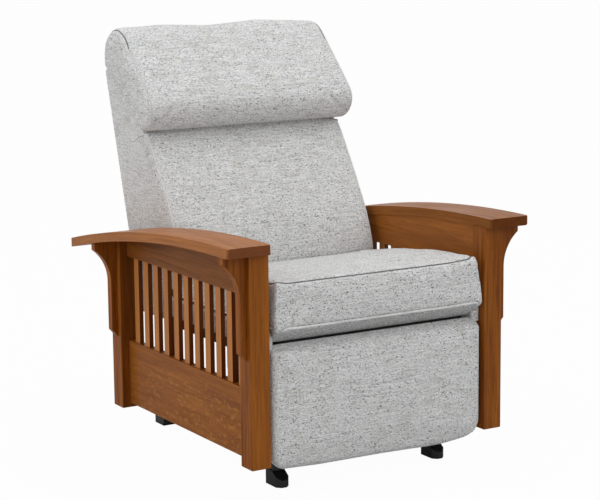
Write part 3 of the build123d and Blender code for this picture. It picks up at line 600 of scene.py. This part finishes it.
def cloth_cover(name, shapes, seams, held=None, swell=12 * mm, reach=60 * mm):
    """The cover of a soft piece, blown up over its filling between the seams that hold it.

    The cover is free from a reach away from its seams, apart from the share of it that is held,
    and starts a swell inside its filling."""
    last_frame = 20
    left_inside = 0.25
    slack_inside = 0.4 * mm
    piece = soft_form(name, shapes, 6 * mm)
    places = places_of(piece)
    far = np.clip(distance_from(seams, places) / reach, 0, 1)
    free = far * far * (3 - 2 * far)
    if held:
        free *= 1 - held(places)
    filling_way = outward(piece)
    start = places - filling_way * (free * swell)[:, None]
    put_places(piece, start)
    group = piece.vertex_groups.new(name="seams")
    for number, share in enumerate(free):
        group.add([number], 1.0 if share < 0.02 else 0.0, "REPLACE")
    cloth = piece.modifiers.new("cover", "CLOTH")
    cloth.settings.quality = 4
    cloth.settings.mass = 0.4
    cloth.settings.bending_stiffness = 1.5
    cloth.settings.use_pressure = True
    cloth.settings.uniform_pressure_force = 4.0
    cloth.settings.vertex_group_mass = "seams"
    cloth.settings.effector_weights.gravity = 0
    cloth.point_cache.frame_start = 1
    cloth.point_cache.frame_end = last_frame
    for number in range(1, last_frame + 1):
        scene.frame_set(number)
    settle(piece)
    moved = places_of(piece) - start
    length = np.linalg.norm(moved, axis=1)
    cap = swell * 1.25
    moved *= np.minimum(1, cap / np.maximum(length, 1e-9))[:, None]
    over = np.sum((start + moved - places) * filling_way, axis=1)
    lifted = np.maximum(over, left_inside * over - slack_inside) - over
    put_places(piece, start + moved + filling_way * lifted[:, None])
    piece.vertex_groups.clear()
    ease(piece)
    return piece


def on_surface(piece, points, lift=0.0):
    """A line laid on a piece, evened out along its length, then raised by the lift."""
    tree = BVHTree.FromObject(piece, bpy.context.evaluated_depsgraph_get())
    line = [Vector(point) for point in points]
    for turn in range(6):
        line = [tree.find_nearest(point)[0] for point in line]
        evened = [
            (before + 2 * point + after) / 4
            for before, point, after in zip(line[:-2], line[1:-1], line[2:])
        ]
        line = [line[0], *evened, line[-1]]
    found = []
    for point in line:
        place, normal, number, gap = tree.find_nearest(point)
        found.append(place + normal * lift)
    return found


def sink_seam(piece, line, width, depth):
    """Draws the fabric in along a seam."""
    places = places_of(piece)
    gap = distance_from([line], places) / width
    share = np.clip(1 - gap * gap, 0, 1) ** 2
    put_places(piece, places - outward(piece) * (share * depth)[:, None])


def welt(name, body, line, radius, finish):
    """A round cord of fabric or thread laid along a line."""
    curve = bpy.data.curves.new(name, "CURVE")
    curve.dimensions = "3D"
    curve.bevel_depth = radius
    curve.bevel_resolution = 2
    spline = curve.splines.new("POLY")
    spline.points.add(len(line) - 1)
    for knot, point in zip(spline.points, line):
        knot.co = (*point, 1)
    curve.use_fill_caps = True
    drawn = bpy.data.objects.new(name + "_line", curve)
    scene.collection.objects.link(drawn)
    bpy.context.view_layer.update()
    rounded = drawn.evaluated_get(bpy.context.evaluated_depsgraph_get())
    shape = bpy.data.meshes.new_from_object(rounded)
    bpy.data.objects.remove(drawn)
    piece = bpy.data.objects.new(name, shape)
    scene.collection.objects.link(piece)
    for polygon in shape.polygons:
        polygon.use_smooth = True
    shape.materials.clear()
    shape.materials.append(finish)
    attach(piece, body)
    return piece


def dress(piece, body, *stands_for):
    """Fabric, body and node of a soft piece."""
    piece.data.materials.clear()
    piece.data.materials.append(fabric)
    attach(piece, body)
    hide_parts(*stands_for)


seat_low, seat_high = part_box("seat_cushion")
seat_top_z = 0.538
seat_top_half = 0.283
seat_front_top_y = -0.453
seat_rear_y = seat_high.y
seat_rear_z = 0.487
top_corner = 0.02
top_corner_drop = 0.003
rear_widening = 0.005
top_seam_corners = [
    (-seat_top_half - rear_widening, seat_rear_y, seat_rear_z),
    (-seat_top_half, seat_front_top_y + top_corner, seat_top_z - top_corner_drop),
    (-seat_top_half + top_corner, seat_front_top_y, seat_top_z),
    (seat_top_half - top_corner, seat_front_top_y, seat_top_z),
    (seat_top_half, seat_front_top_y + top_corner, seat_top_z - top_corner_drop),
    (seat_top_half + rear_widening, seat_rear_y, seat_rear_z),
]
seat_bottom_half = 0.306
seat_front_bottom_y = -0.458
bottom_corner = 0.026
welt_z = seat_low.z + 0.006
bottom_seam_corners = [
    (-seat_bottom_half, seat_rear_y, welt_z),
    (-seat_bottom_half, seat_front_bottom_y + bottom_corner, welt_z),
    (-seat_bottom_half + bottom_corner, seat_front_bottom_y, welt_z),
    (seat_bottom_half - bottom_corner, seat_front_bottom_y, welt_z),
    (seat_bottom_half, seat_front_bottom_y + bottom_corner, welt_z),
    (seat_bottom_half, seat_rear_y, welt_z),
]
seat_seams = [spread_points(top_seam_corners), spread_points(bottom_seam_corners)]
seat_cover = cloth_cover(
    "seat_cushion_cover", [nodes["seat_cushion"].data], seat_seams,
    lambda places: np.clip((seat_low.z + 0.012 - places[:, 2]) / 0.006, 0, 1),
)


def sat_in(places):
    """Places of the seat once it has been sat in.

    Its crown lies lower behind the front seam, the right front corner is filled out and raised,
    and the left one is filled out below and leans in towards its top."""
    crown_drop = 0.010
    right_fill = 0.005
    right_lift = 0.006
    left_fill = 0.004
    left_lean = 0.019
    corner_start = 0.18
    corner_reach = 0.10
    across = places[:, 0]
    height = np.clip((places[:, 2] - seat_low.z) / (seat_top_z - seat_low.z), 0, 1)
    near_front = np.clip((-0.20 - places[:, 1]) / 0.15, 0, 1)
    left_share = np.clip((-across - corner_start) / corner_reach, 0, 1) ** 2
    right_share = np.clip((across - corner_start) / corner_reach, 0, 1) ** 2
    behind_seam = np.clip((places[:, 1] + 0.445) / 0.07, 0, 1)
    on_top = np.clip((places[:, 2] - 0.485) / 0.025, 0, 1)
    between_sides = np.clip(1 - (across / 0.31) ** 6, 0, 1)
    crown = behind_seam * on_top * between_sides
    sat = places.copy()
    sat[:, 0] += near_front * (
        right_share * right_fill + left_share * (left_fill - left_lean * height)
    )
    sat[:, 2] += right_lift * right_share * height * near_front - crown_drop * crown
    return sat


put_places(seat_cover, sat_in(places_of(seat_cover)))
seat_seams = [[Vector(place) for place in sat_in(np.array(line))] for line in seat_seams]
seat_top_seam = on_surface(seat_cover, seat_seams[0])
seat_bottom_seam = on_surface(seat_cover, seat_seams[1])
sink_seam(seat_cover, seat_top_seam, 9 * mm, 3 * mm)
sink_seam(seat_cover, seat_bottom_seam, 10 * mm, 3 * mm)
dress(seat_cover, "carriage", "seat_cushion")
seat_welt_line = on_surface(seat_cover, seat_seams[1], 3.0 * mm)
# The bottom welt is painted paler, as a highlight.
welt("seat_bottom_welt", "carriage", seat_welt_line, 3.2 * mm, lit_tweed)
# A dark cord laid in the seams, as painted shade for the hollow where two panels meet.
seam_shadow, seam_shader, add, join = new_material("painted_seam_shadow")
seam_shader.inputs["Base Color"].default_value = (0.13, 0.13, 0.135, 1)
seam_shader.inputs["Roughness"].default_value = 0.95
seat_thread_line = on_surface(seat_cover, seat_seams[0], 0.2 * mm)
welt("seat_top_seam", "carriage", seat_thread_line, 1.8 * mm, seam_shadow)


# Seat frame. The front and side rails are wrapped in the tweed of the cushion. The front one is
# padded out to the welt and slopes back below it, to let the footrest swing past. Its tweed is
# darkened as painted shade under the cushion, set to match the photograph in the opening view.
# The rear rail stays bare plywood.
front_wrap_outline = [
    (-0.4570, 0.4240), (-0.4580, 0.4195), (-0.4560, 0.4160), (-0.4470, 0.4095), (-0.4400, 0.4045),
    (-0.4300, 0.3972), (-0.4180, 0.3890), (-0.4050, 0.3798), (-0.4035, 0.3830),
    (-0.4035, 0.4140), (-0.4200, 0.4240),
]
front_wrap_face = [point for point in front_wrap_outline if point[0] < -0.4285]
front_wrap_face.append((-0.4287, 0.4240))
front_wrap = soft_form("seat_front_wrap", [
    block(front_wrap_outline, [(-0.2935, 0), (0.2935, 0)]),
    block(front_wrap_face, [(-0.3055, 0.004), (-0.300, 0), (0.300, 0), (0.3055, 0.004)]),
], 4 * mm)
ease(front_wrap, 2)
dress(front_wrap, "carriage", "seat_front_rail")
front_wrap.data.materials[0] = painted_shade_tweed
for side in ("left", "right"):
    low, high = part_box("seat_side_rail_" + side)
    outline = [(low.y, low.z), (high.y, low.z), (high.y, high.z), (low.y, high.z)]
    side_wrap = soft_form("seat_side_wrap_" + side, [
        block(outline, [(low.x, 0.002), (low.x + 0.003, 0), (high.x - 0.003, 0), (high.x, 0.002)]),
    ], 4 * mm)
    ease(side_wrap, 1)
    dress(side_wrap, "carriage", "seat_side_rail_" + side)


# Dark sheet. A thin black sheet, fixed to the seat frame from the front rail to the rear one,
# lies under the springs and closes the view into the seat. It is painted shade: a dark sheet
# standing for the shadow in the gap under the seat. The photograph doesn't show one.
shade_sheet_path = [
    (-0.4040, 0.3830), (-0.3960, 0.3752), (-0.3840, 0.3665), (-0.3650, 0.3600),
    (-0.3350, 0.3570), (-0.3000, 0.3572), (-0.2500, 0.3600), (-0.1500, 0.3635),
    (-0.0500, 0.3660), (0.0140, 0.3675),
]
shade_sheet_thickness = 0.0012
shade_sheet_outline = shade_sheet_path + [(y, z + shade_sheet_thickness) for y, z in reversed(shade_sheet_path)]
shade_sheet_shape = block(shade_sheet_outline, [(-0.262, 0), (0.262, 0)])
shade_sheet = bpy.data.objects.new("seat_shade_sheet", shade_sheet_shape)
scene.collection.objects.link(shade_sheet)
shade_sheet_finish, cloth_shader, add, join = new_material("dark_sheet_painted_shade")
cloth_shader.inputs["Base Color"].default_value = (0.07, 0.07, 0.07, 1)
cloth_shader.inputs["Roughness"].default_value = 0.95
cloth_shader.inputs["Specular IOR Level"].default_value = 0.1
shade_sheet_shape.materials.append(shade_sheet_finish)
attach(shade_sheet, "carriage")


# Back. One sewn cover holds the foam of the back and wraps the padded frame behind it, so each
# side is a single panel from the front seam to the rear. The front panel bows forward over the
# foam, and its two upright seams are stitched down on both sides.
back_half = 0.300
back_foot = (0.038, 0.484)
back_crease = (0.216, 0.828)
back_lean = (back_crease[0] - back_foot[0]) / (back_crease[1] - back_foot[1])
back_outline = [
    (0.041, 0.432), (0.139, 0.432), (0.150, 0.340), (0.287, 0.340), (0.470, 0.985), (0.438, 0.990),
    (0.234, 0.8335), back_crease, back_foot,
]


def behind_front(places):
    """How far places lie behind the sloping front of the back."""
    behind = places[:, 1] - back_foot[0] - back_lean * (places[:, 2] - back_foot[1])
    return behind / math.hypot(1, back_lean)


def bowed_forward(places):
    """Places of the back, with its front brought forward as the foam fills it out."""
    bow = 0.024
    fade_depth = 0.06
    middle_share = 0.35
    rise = np.clip((places[:, 2] - back_foot[1]) / (back_crease[1] - back_foot[1]), 0, 1)
    near = np.exp(-(np.clip(behind_front(places), 0, None) / fade_depth) ** 2)
    outward_share = middle_share + 0.65 * (places[:, 0] / back_half) ** 2
    bowed = places.copy()
    bowed[:, 1] -= bow * (np.sin(np.pi * rise ** 0.7) * near * outward_share)
    return bowed


def on_back(x, z):
    return (x, back_foot[0] + back_lean * (z - back_foot[1]), z)


back_seams = [
    spread_points([on_back(-back_half, back_foot[1]), on_back(-back_half, back_crease[1])]),
    spread_points([on_back(back_half, back_foot[1]), on_back(back_half, back_crease[1])]),
    spread_points([on_back(-back_half, back_crease[1]), on_back(back_half, back_crease[1])]),
    spread_points([on_back(-back_half, back_foot[1]), on_back(back_half, back_foot[1])]),
]
back_stations = [
    (-back_half, 0.003), (-back_half + 0.003, 0), (back_half - 0.003, 0), (back_half, 0.003),
]
back_cover = cloth_cover(
    "back_cover", [block(back_outline, back_stations), nodes["back_cushion"].data], back_seams,
    lambda places: np.clip((behind_front(places) - 0.010) / 0.03, 0, 1),
    reach=75 * mm,
)
put_places(back_cover, bowed_forward(places_of(back_cover)))
dress(back_cover, "back", "back_cushion", "back_shell")


def stitches(name, body, line, finish):
    """Short raised threads, one after another, along a seam."""
    radius = 0.75 * mm
    length = 4.5 * mm
    gap = 2.5 * mm
    sides = 6
    form = bmesh.new()
    walked = 0.0
    start = line[0]
    for point, following in zip(line[:-1], line[1:]):
        walked += (following - point).length
        if walked < length + gap:
            continue
        walked = 0.0
        way = (following - start).normalized()
        end = start + way * length
        side = way.orthogonal().normalized()
        over = way.cross(side)
        rings = []
        for part, share in ((0, 0.35), (0.2, 1), (0.8, 1), (1, 0.35)):
            ring = []
            for step in range(sides):
                turn = math.tau * step / sides
                outwards = side * math.cos(turn) + over * math.sin(turn)
                ring.append(form.verts.new(start.lerp(end, part) + outwards * radius * share))
            rings.append(ring)
        for ring, other in zip(rings[:-1], rings[1:]):
            for number in range(sides):
                form.faces.new((ring[number], ring[number - 1], other[number - 1], other[number]))
        form.faces.new(rings[0])
        form.faces.new(list(reversed(rings[-1])))
        start = following
    bmesh.ops.recalc_face_normals(form, faces=form.faces[:])
    shape = bpy.data.meshes.new(name)
    form.to_mesh(shape)
    form.free()
    shape.materials.append(finish)
    piece = bpy.data.objects.new(name, shape)
    scene.collection.objects.link(piece)
    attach(piece, body)
    return piece


pale_thread, thread_shader, add, join = new_material("pale_thread")
thread_shader.inputs["Base Color"].default_value = (0.78, 0.78, 0.76, 1)
thread_shader.inputs["Roughness"].default_value = 0.8


def stitched_down(name, piece, line):
    """A row of stitches on each side of a seam: on the panel within it, and on the one behind."""
    beside = 6 * mm
    for number in range(2):
        row = [Vector(point) for point in line]
        for point in row:
            if number == 0:
                point.x -= math.copysign(beside, point.x)
            else:
                point.y += beside
        stitches(f"{name}_{number}", "back", on_surface(piece, row, 0.3 * mm), pale_thread)


seam_heights = [back_foot[1] + 0.004 * step for step in range(86)]
for side, sign in (("left", -1), ("right", 1)):
    straight_seam = [on_back(sign * back_half, z) for z in seam_heights]
    seam = [Vector(point) for point in bowed_forward(np.array(straight_seam))]
    sink_seam(back_cover, on_surface(back_cover, seam), 8 * mm, 2.5 * mm)
    back_welt_line = on_surface(back_cover, seam, 0.6 * mm)
    # The seam ridge is painted paler, as a highlight.
    welt("back_seam_" + side, "back", back_welt_line, 1.9 * mm, lit_tweed)
    stitched_down("back_stitches_" + side, back_cover, seam)


# Head pillow. A firm roll over the top of the back, with flat end caps let in by a corded seam
# and its front hanging a little over the back below it.
pillow_outline = [
    (0.2340, 0.8340), (0.2045, 0.8380), (0.1880, 0.8440), (0.1720, 0.8580), (0.1625, 0.8740),
    (0.1584, 0.8920), (0.1615, 0.9110), (0.1727, 0.9284), (0.2000, 0.9578), (0.2400, 1.0009),
    (0.2800, 1.0440), (0.3200, 1.0870), (0.3380, 1.1000), (0.3580, 1.1065), (0.3740, 1.1065),
    (0.3920, 1.1035), (0.4060, 1.0956), (0.4220, 1.0830), (0.4350, 1.0640), (0.4418, 1.0404),
    (0.4418, 1.0180), (0.4415, 0.9940), (0.3900, 0.9540), (0.3380, 0.9140), (0.2860, 0.8740),
]
pillow_stations = [
    (-0.319, 0.020), (-0.3165, 0.010), (-0.311, 0.003), (-0.302, 0), (-0.28, 0), (0, 0), (0.28, 0),
    (0.302, 0), (0.311, 0.003), (0.3165, 0.010), (0.319, 0.020),
]
cap_seam_side = [
    (0.1650, 0.8590), (0.1600, 0.8920), (0.1650, 0.9150), (0.1755, 0.9310), (0.2400, 1.0000),
    (0.3190, 1.0850), (0.3400, 1.0990), (0.3600, 1.1040), (0.3850, 1.1020), (0.4080, 1.0920),
    (0.4270, 1.0750), (0.4390, 1.0480), (0.4390, 1.0050),
]
cap_seam_half = 0.312
cap_seams = [
    spread_points([(sign * cap_seam_half, y, z) for y, z in cap_seam_side])
    for sign in (-1, 1)
]
pillow_bottom = spread_points([(-0.31, 0.2045, 0.838), (0.31, 0.2045, 0.838)])
pillow_cover = cloth_cover(
    "head_pillow_cover", [block(pillow_outline, pillow_stations)], [*cap_seams, pillow_bottom],
    swell=9 * mm,
)
pillow_places = places_of(pillow_cover)
pillow_sag = np.interp(
    pillow_places[:, 0],
    [-0.319, -0.300, -0.283, -0.171, -0.029, 0.029, 0.117, 0.237, 0.300, 0.319],
    [-0.0060, -0.0035, -0.0010, 0.0035, -0.0030, 0.0000, 0.0060, -0.0010, -0.0070, -0.0110],
)
pillow_places[:, 2] += pillow_sag * np.clip((pillow_places[:, 2] - 0.95) / 0.13, 0, 1)
put_places(pillow_cover, pillow_places)
# A mid-grey cord along the lower cap seam, as painted shade of the seam's hollow.
seam_shade_grey, seam_shader, add, join = new_material("grey_painted_seam_shade")
seam_shader.inputs["Base Color"].default_value = (0.56, 0.56, 0.56, 1)
seam_shader.inputs["Roughness"].default_value = 0.95
for side, line in zip(("left", "right"), cap_seams):
    sink_seam(pillow_cover, on_surface(pillow_cover, line), 9 * mm, 3.0 * mm)
    raised = on_surface(pillow_cover, line, 0.2 * mm)
    top_of_cap = round(len(raised) * 0.52)
    # The corded seam over the top of the cap is painted dark, as shade.
    welt("pillow_cap_cord_" + side, "back", raised[top_of_cap:], 1.4 * mm, seam_shadow)
    cap_front_line = on_surface(pillow_cover, line[:top_of_cap + 1], 0.1 * mm)
    welt("pillow_cap_seam_" + side, "back", cap_front_line, 1.2 * mm, seam_shade_grey)
    stitched_down("pillow_stitches_" + side, pillow_cover, line[3:top_of_cap])
fold_half = 0.301
fold_side = [(0.212, 0.829), (0.235, 0.829), (0.262, 0.820), (0.290, 0.806)]
for side, sign in (("left", -1), ("right", 1)):
    fold = spread_points([(sign * fold_half, y, z) for y, z in fold_side])
    fold_line = on_surface(back_cover, fold, 1.2 * mm)
    # The fold is painted paler, as a highlight.
    welt("pillow_fold_" + side, "back", fold_line, 2.4 * mm, lit_tweed)
    crease = spread_points([
        (sign * 0.236, 0.162, 0.905), (sign * 0.262, 0.163, 0.880), (sign * 0.290, 0.175, 0.858),
    ])
    sink_seam(pillow_cover, on_surface(pillow_cover, crease), 14 * mm, 3.5 * mm)
dress(pillow_cover, "back", "head_pillow")


# Footrest. A flat pad on a plywood board, covered in one piece of tweed that rolls round all its
# front edges and is stapled behind. At rest it hangs in front of the mechanism.
footrest_low, footrest_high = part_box("footrest_pad")
stapled_line = [
    (footrest_low.x, footrest_high.z), (footrest_low.x, 0.12),
    (footrest_low.x + 0.06, footrest_low.z), (footrest_high.x - 0.06, footrest_low.z),
    (footrest_high.x, 0.12), (footrest_high.x, footrest_high.z),
    (footrest_low.x, footrest_high.z),
]
footrest_seam = spread_points([(x, footrest_high.y, z) for x, z in stapled_line])
footrest_cover = cloth_cover(
    "footrest_cover", [nodes["footrest_pad"].data], [footrest_seam],
    lambda places: np.clip((places[:, 1] - footrest_high.y + 0.016) / 0.012, 0, 1),
    swell=7 * mm,
)
footrest_places = places_of(footrest_cover)
footrest_widening = 1.010
footrest_sideways = 0.001
footrest_places[:, 0] = footrest_places[:, 0] * footrest_widening + footrest_sideways
rest_across = footrest_places[:, 0]
rest_height = footrest_places[:, 2].copy()
on_front = np.clip((footrest_high.y - 0.010 - footrest_places[:, 1]) / 0.020, 0, 1)
bottom_roll_height = 0.060
top_roll_height = 0.024
near_bottom = (footrest_low.z + bottom_roll_height - rest_height) / bottom_roll_height
near_top = (rest_height - footrest_high.z + top_roll_height) / top_roll_height
bottom_roll = 0.010 * np.clip(near_bottom, 0, 1) ** 2
top_roll = 0.008 * np.clip(near_top, 0, 1) ** 2
footrest_places[:, 1] += on_front * np.maximum(bottom_roll, top_roll)
corner_drop = 0.009
top_edge_drop = 0.004
corner = np.clip((np.abs(rest_across) - 0.275) / 0.038, 0, 1) ** 2
upper_part = np.clip((rest_height - 0.30) / 0.06, 0, 1)
footrest_places[:, 2] -= (corner_drop * corner + top_edge_drop * on_front) * upper_part
belly = np.interp(
    rest_across,
    [-0.309, -0.250, -0.169, -0.076, 0.018, 0.111, 0.157, 0.204, 0.251, 0.297],
    [0.0, 0.0020, 0.0055, 0.0060, 0.0066, 0.0090, 0.0105, 0.0100, 0.0055, 0.0],
)
footrest_places[:, 2] -= belly * np.clip((0.150 - rest_height) / 0.080, 0, 1)
put_places(footrest_cover, footrest_places)
dress(footrest_cover, "footrest", "footrest_pad")


# Plywood. The stiles and cross rails of the back, the seat's rear rail and the board of the
# footrest are bare birch plywood, with its plies showing as bands on the sawn edges.
def plywood(name, across, lean=0.0):
    material, shader, add, join = new_material(name)
    place = add("TexCoord").outputs["Object"]
    axes = add("SeparateXYZ")
    join(place, axes.inputs[0])
    depth = axes.outputs[across]
    if lean:
        slope = add("Math", operation="MULTIPLY")
        slope.inputs[1].default_value = -lean
        join(axes.outputs["Z"], slope.inputs[0])
        leaning = add("Math", operation="ADD")
        join(depth, leaning.inputs[0])
        join(slope.outputs[0], leaning.inputs[1])
        depth = leaning.outputs[0]
    layers = add("Math", operation="MULTIPLY")
    layers.inputs[1].default_value = 1 / (3.2 * mm)
    join(depth, layers.inputs[0])
    part = add("Math", operation="FRACT")
    join(layers.outputs[0], part.inputs[0])
    dark_ply = add("Math", operation="LESS_THAN")
    dark_ply.inputs[1].default_value = 0.45
    join(part.outputs[0], dark_ply.inputs[0])
    facing = add("SeparateXYZ")
    flat = add("NewGeometry")
    join(flat.outputs["Normal"], facing.inputs[0])
    side_on = add("Math", operation="ABSOLUTE")
    join(facing.outputs[across], side_on.inputs[0])
    on_edge = add("Math", operation="LESS_THAN")
    on_edge.inputs[1].default_value = 0.6
    join(side_on.outputs[0], on_edge.inputs[0])
    shown = add("Math", operation="MULTIPLY")
    join(dark_ply.outputs[0], shown.inputs[0])
    join(on_edge.outputs[0], shown.inputs[1])
    grain = add("TexNoise", Detail=3.0, Roughness=0.6)
    grain.inputs["Scale"].default_value = 1.0
    stretch = add("Mapping")
    stretch.inputs["Scale"].default_value = (12, 120, 120)
    join(place, stretch.inputs["Vector"])
    join(stretch.outputs[0], grain.inputs["Vector"])
    face = add("Mix", data_type="RGBA")
    join(grain.outputs["Fac"], face.inputs[0])
    face.inputs[6].default_value = (0.66, 0.49, 0.30, 1)
    face.inputs[7].default_value = (0.48, 0.32, 0.17, 1)
    banded = add("Mix", data_type="RGBA")
    join(shown.outputs[0], banded.inputs[0])
    join(face.outputs[2], banded.inputs[6])
    banded.inputs[7].default_value = (0.30, 0.18, 0.09, 1)
    join(banded.outputs[2], shader.inputs["Base Color"])
    shader.inputs["Roughness"].default_value = 0.62
    return material


finish_node("back_stile_left", plywood("stile_plywood", "X"))
finish_node("back_stile_right", nodes["back_stile_left"].data.materials[0])
finish_node("back_cross_rails", plywood("back_rail_plywood", "Y", 0.284))
finish_node("seat_rear_rail", plywood("rail_plywood", "Y"))
finish_node("footrest_board", nodes["seat_rear_rail"].data.materials[0])


# Mechanism. Stamped steel plates, hangers and links in black powder coat, joined by zinc-plated
# pins and rivets. A round tube turns the links of both sides together.
def coated_metal(name, colour, roughness, metallic=0.0, relief=0.12, grain=900):
    material, shader, add, join = new_material(name)
    shader.inputs["Base Color"].default_value = colour
    shader.inputs["Metallic"].default_value = metallic
    place = add("TexCoord").outputs["Object"]
    skin = add("TexNoise", Detail=2.0)
    skin.inputs["Scale"].default_value = grain
    join(place, skin.inputs["Vector"])
    rough = add("MapRange")
    rough.inputs["To Min"].default_value = roughness - 0.06
    rough.inputs["To Max"].default_value = roughness + 0.08
    join(skin.outputs["Fac"], rough.inputs["Value"])
    join(rough.outputs[0], shader.inputs["Roughness"])
    edge = add("Bevel", samples=4)
    edge.inputs["Radius"].default_value = 0.8 * mm
    bump = add("Bump")
    bump.inputs["Strength"].default_value = relief
    bump.inputs["Distance"].default_value = 0.3 * mm
    join(skin.outputs["Fac"], bump.inputs["Height"])
    join(edge.outputs[0], bump.inputs["Normal"])
    join(bump.outputs[0], shader.inputs["Normal"])
    return material


black_coat = coated_metal("black_powder_coat", (0.018, 0.018, 0.019, 1), 0.46)
zinc_plate = coated_metal("zinc_plate", (0.62, 0.62, 0.63, 1), 0.34, metallic=1.0, relief=0.05)
for name in (
    "mechanism_plate", "rear_link", "outer_link", "front_link", "inner_link",
    "footrest_bracket", "recline_bracket",
):
    for side in ("left", "right"):
        finish_node(name + "_" + side, black_coat)
for name in ("hangers", "drive_tube"):
    finish_node(name, black_coat)
for name in ("plate_pins", "rear_link_rivets", "front_link_rivets", "bracket_rivets"):
    finish_node(name, zinc_plate)


# Springs. Zigzag springs of oiled wire carry the cushion between the rails of the seat and the
# foam between the stiles of the back.
oiled_wire = coated_metal(
    "oiled_spring_wire", (0.27, 0.27, 0.28, 1), 0.38, metallic=1.0, relief=0.05,
)
finish_node("seat_springs", oiled_wire)
finish_node("back_springs", oiled_wire)


# Base. Two folded steel channels on moulded feet, tied by two tubes. The glide blocks of the
# chair slide forward in the channels as the back reclines.
for name in ("base_channel_left", "base_channel_right", "base_cross_tubes"):
    finish_node(name, black_coat)
nylon = coated_metal("natural_nylon", (0.74, 0.73, 0.69, 1), 0.42, relief=0.03)
finish_node("glide_blocks", nylon)
moulded_black = coated_metal(
    "moulded_black", (0.011, 0.011, 0.012, 1), 0.33, relief=0.08, grain=500,
)
for name in ("front_foot_left", "front_foot_right", "rear_foot_left", "rear_foot_right"):
    finish_node(name, moulded_black)
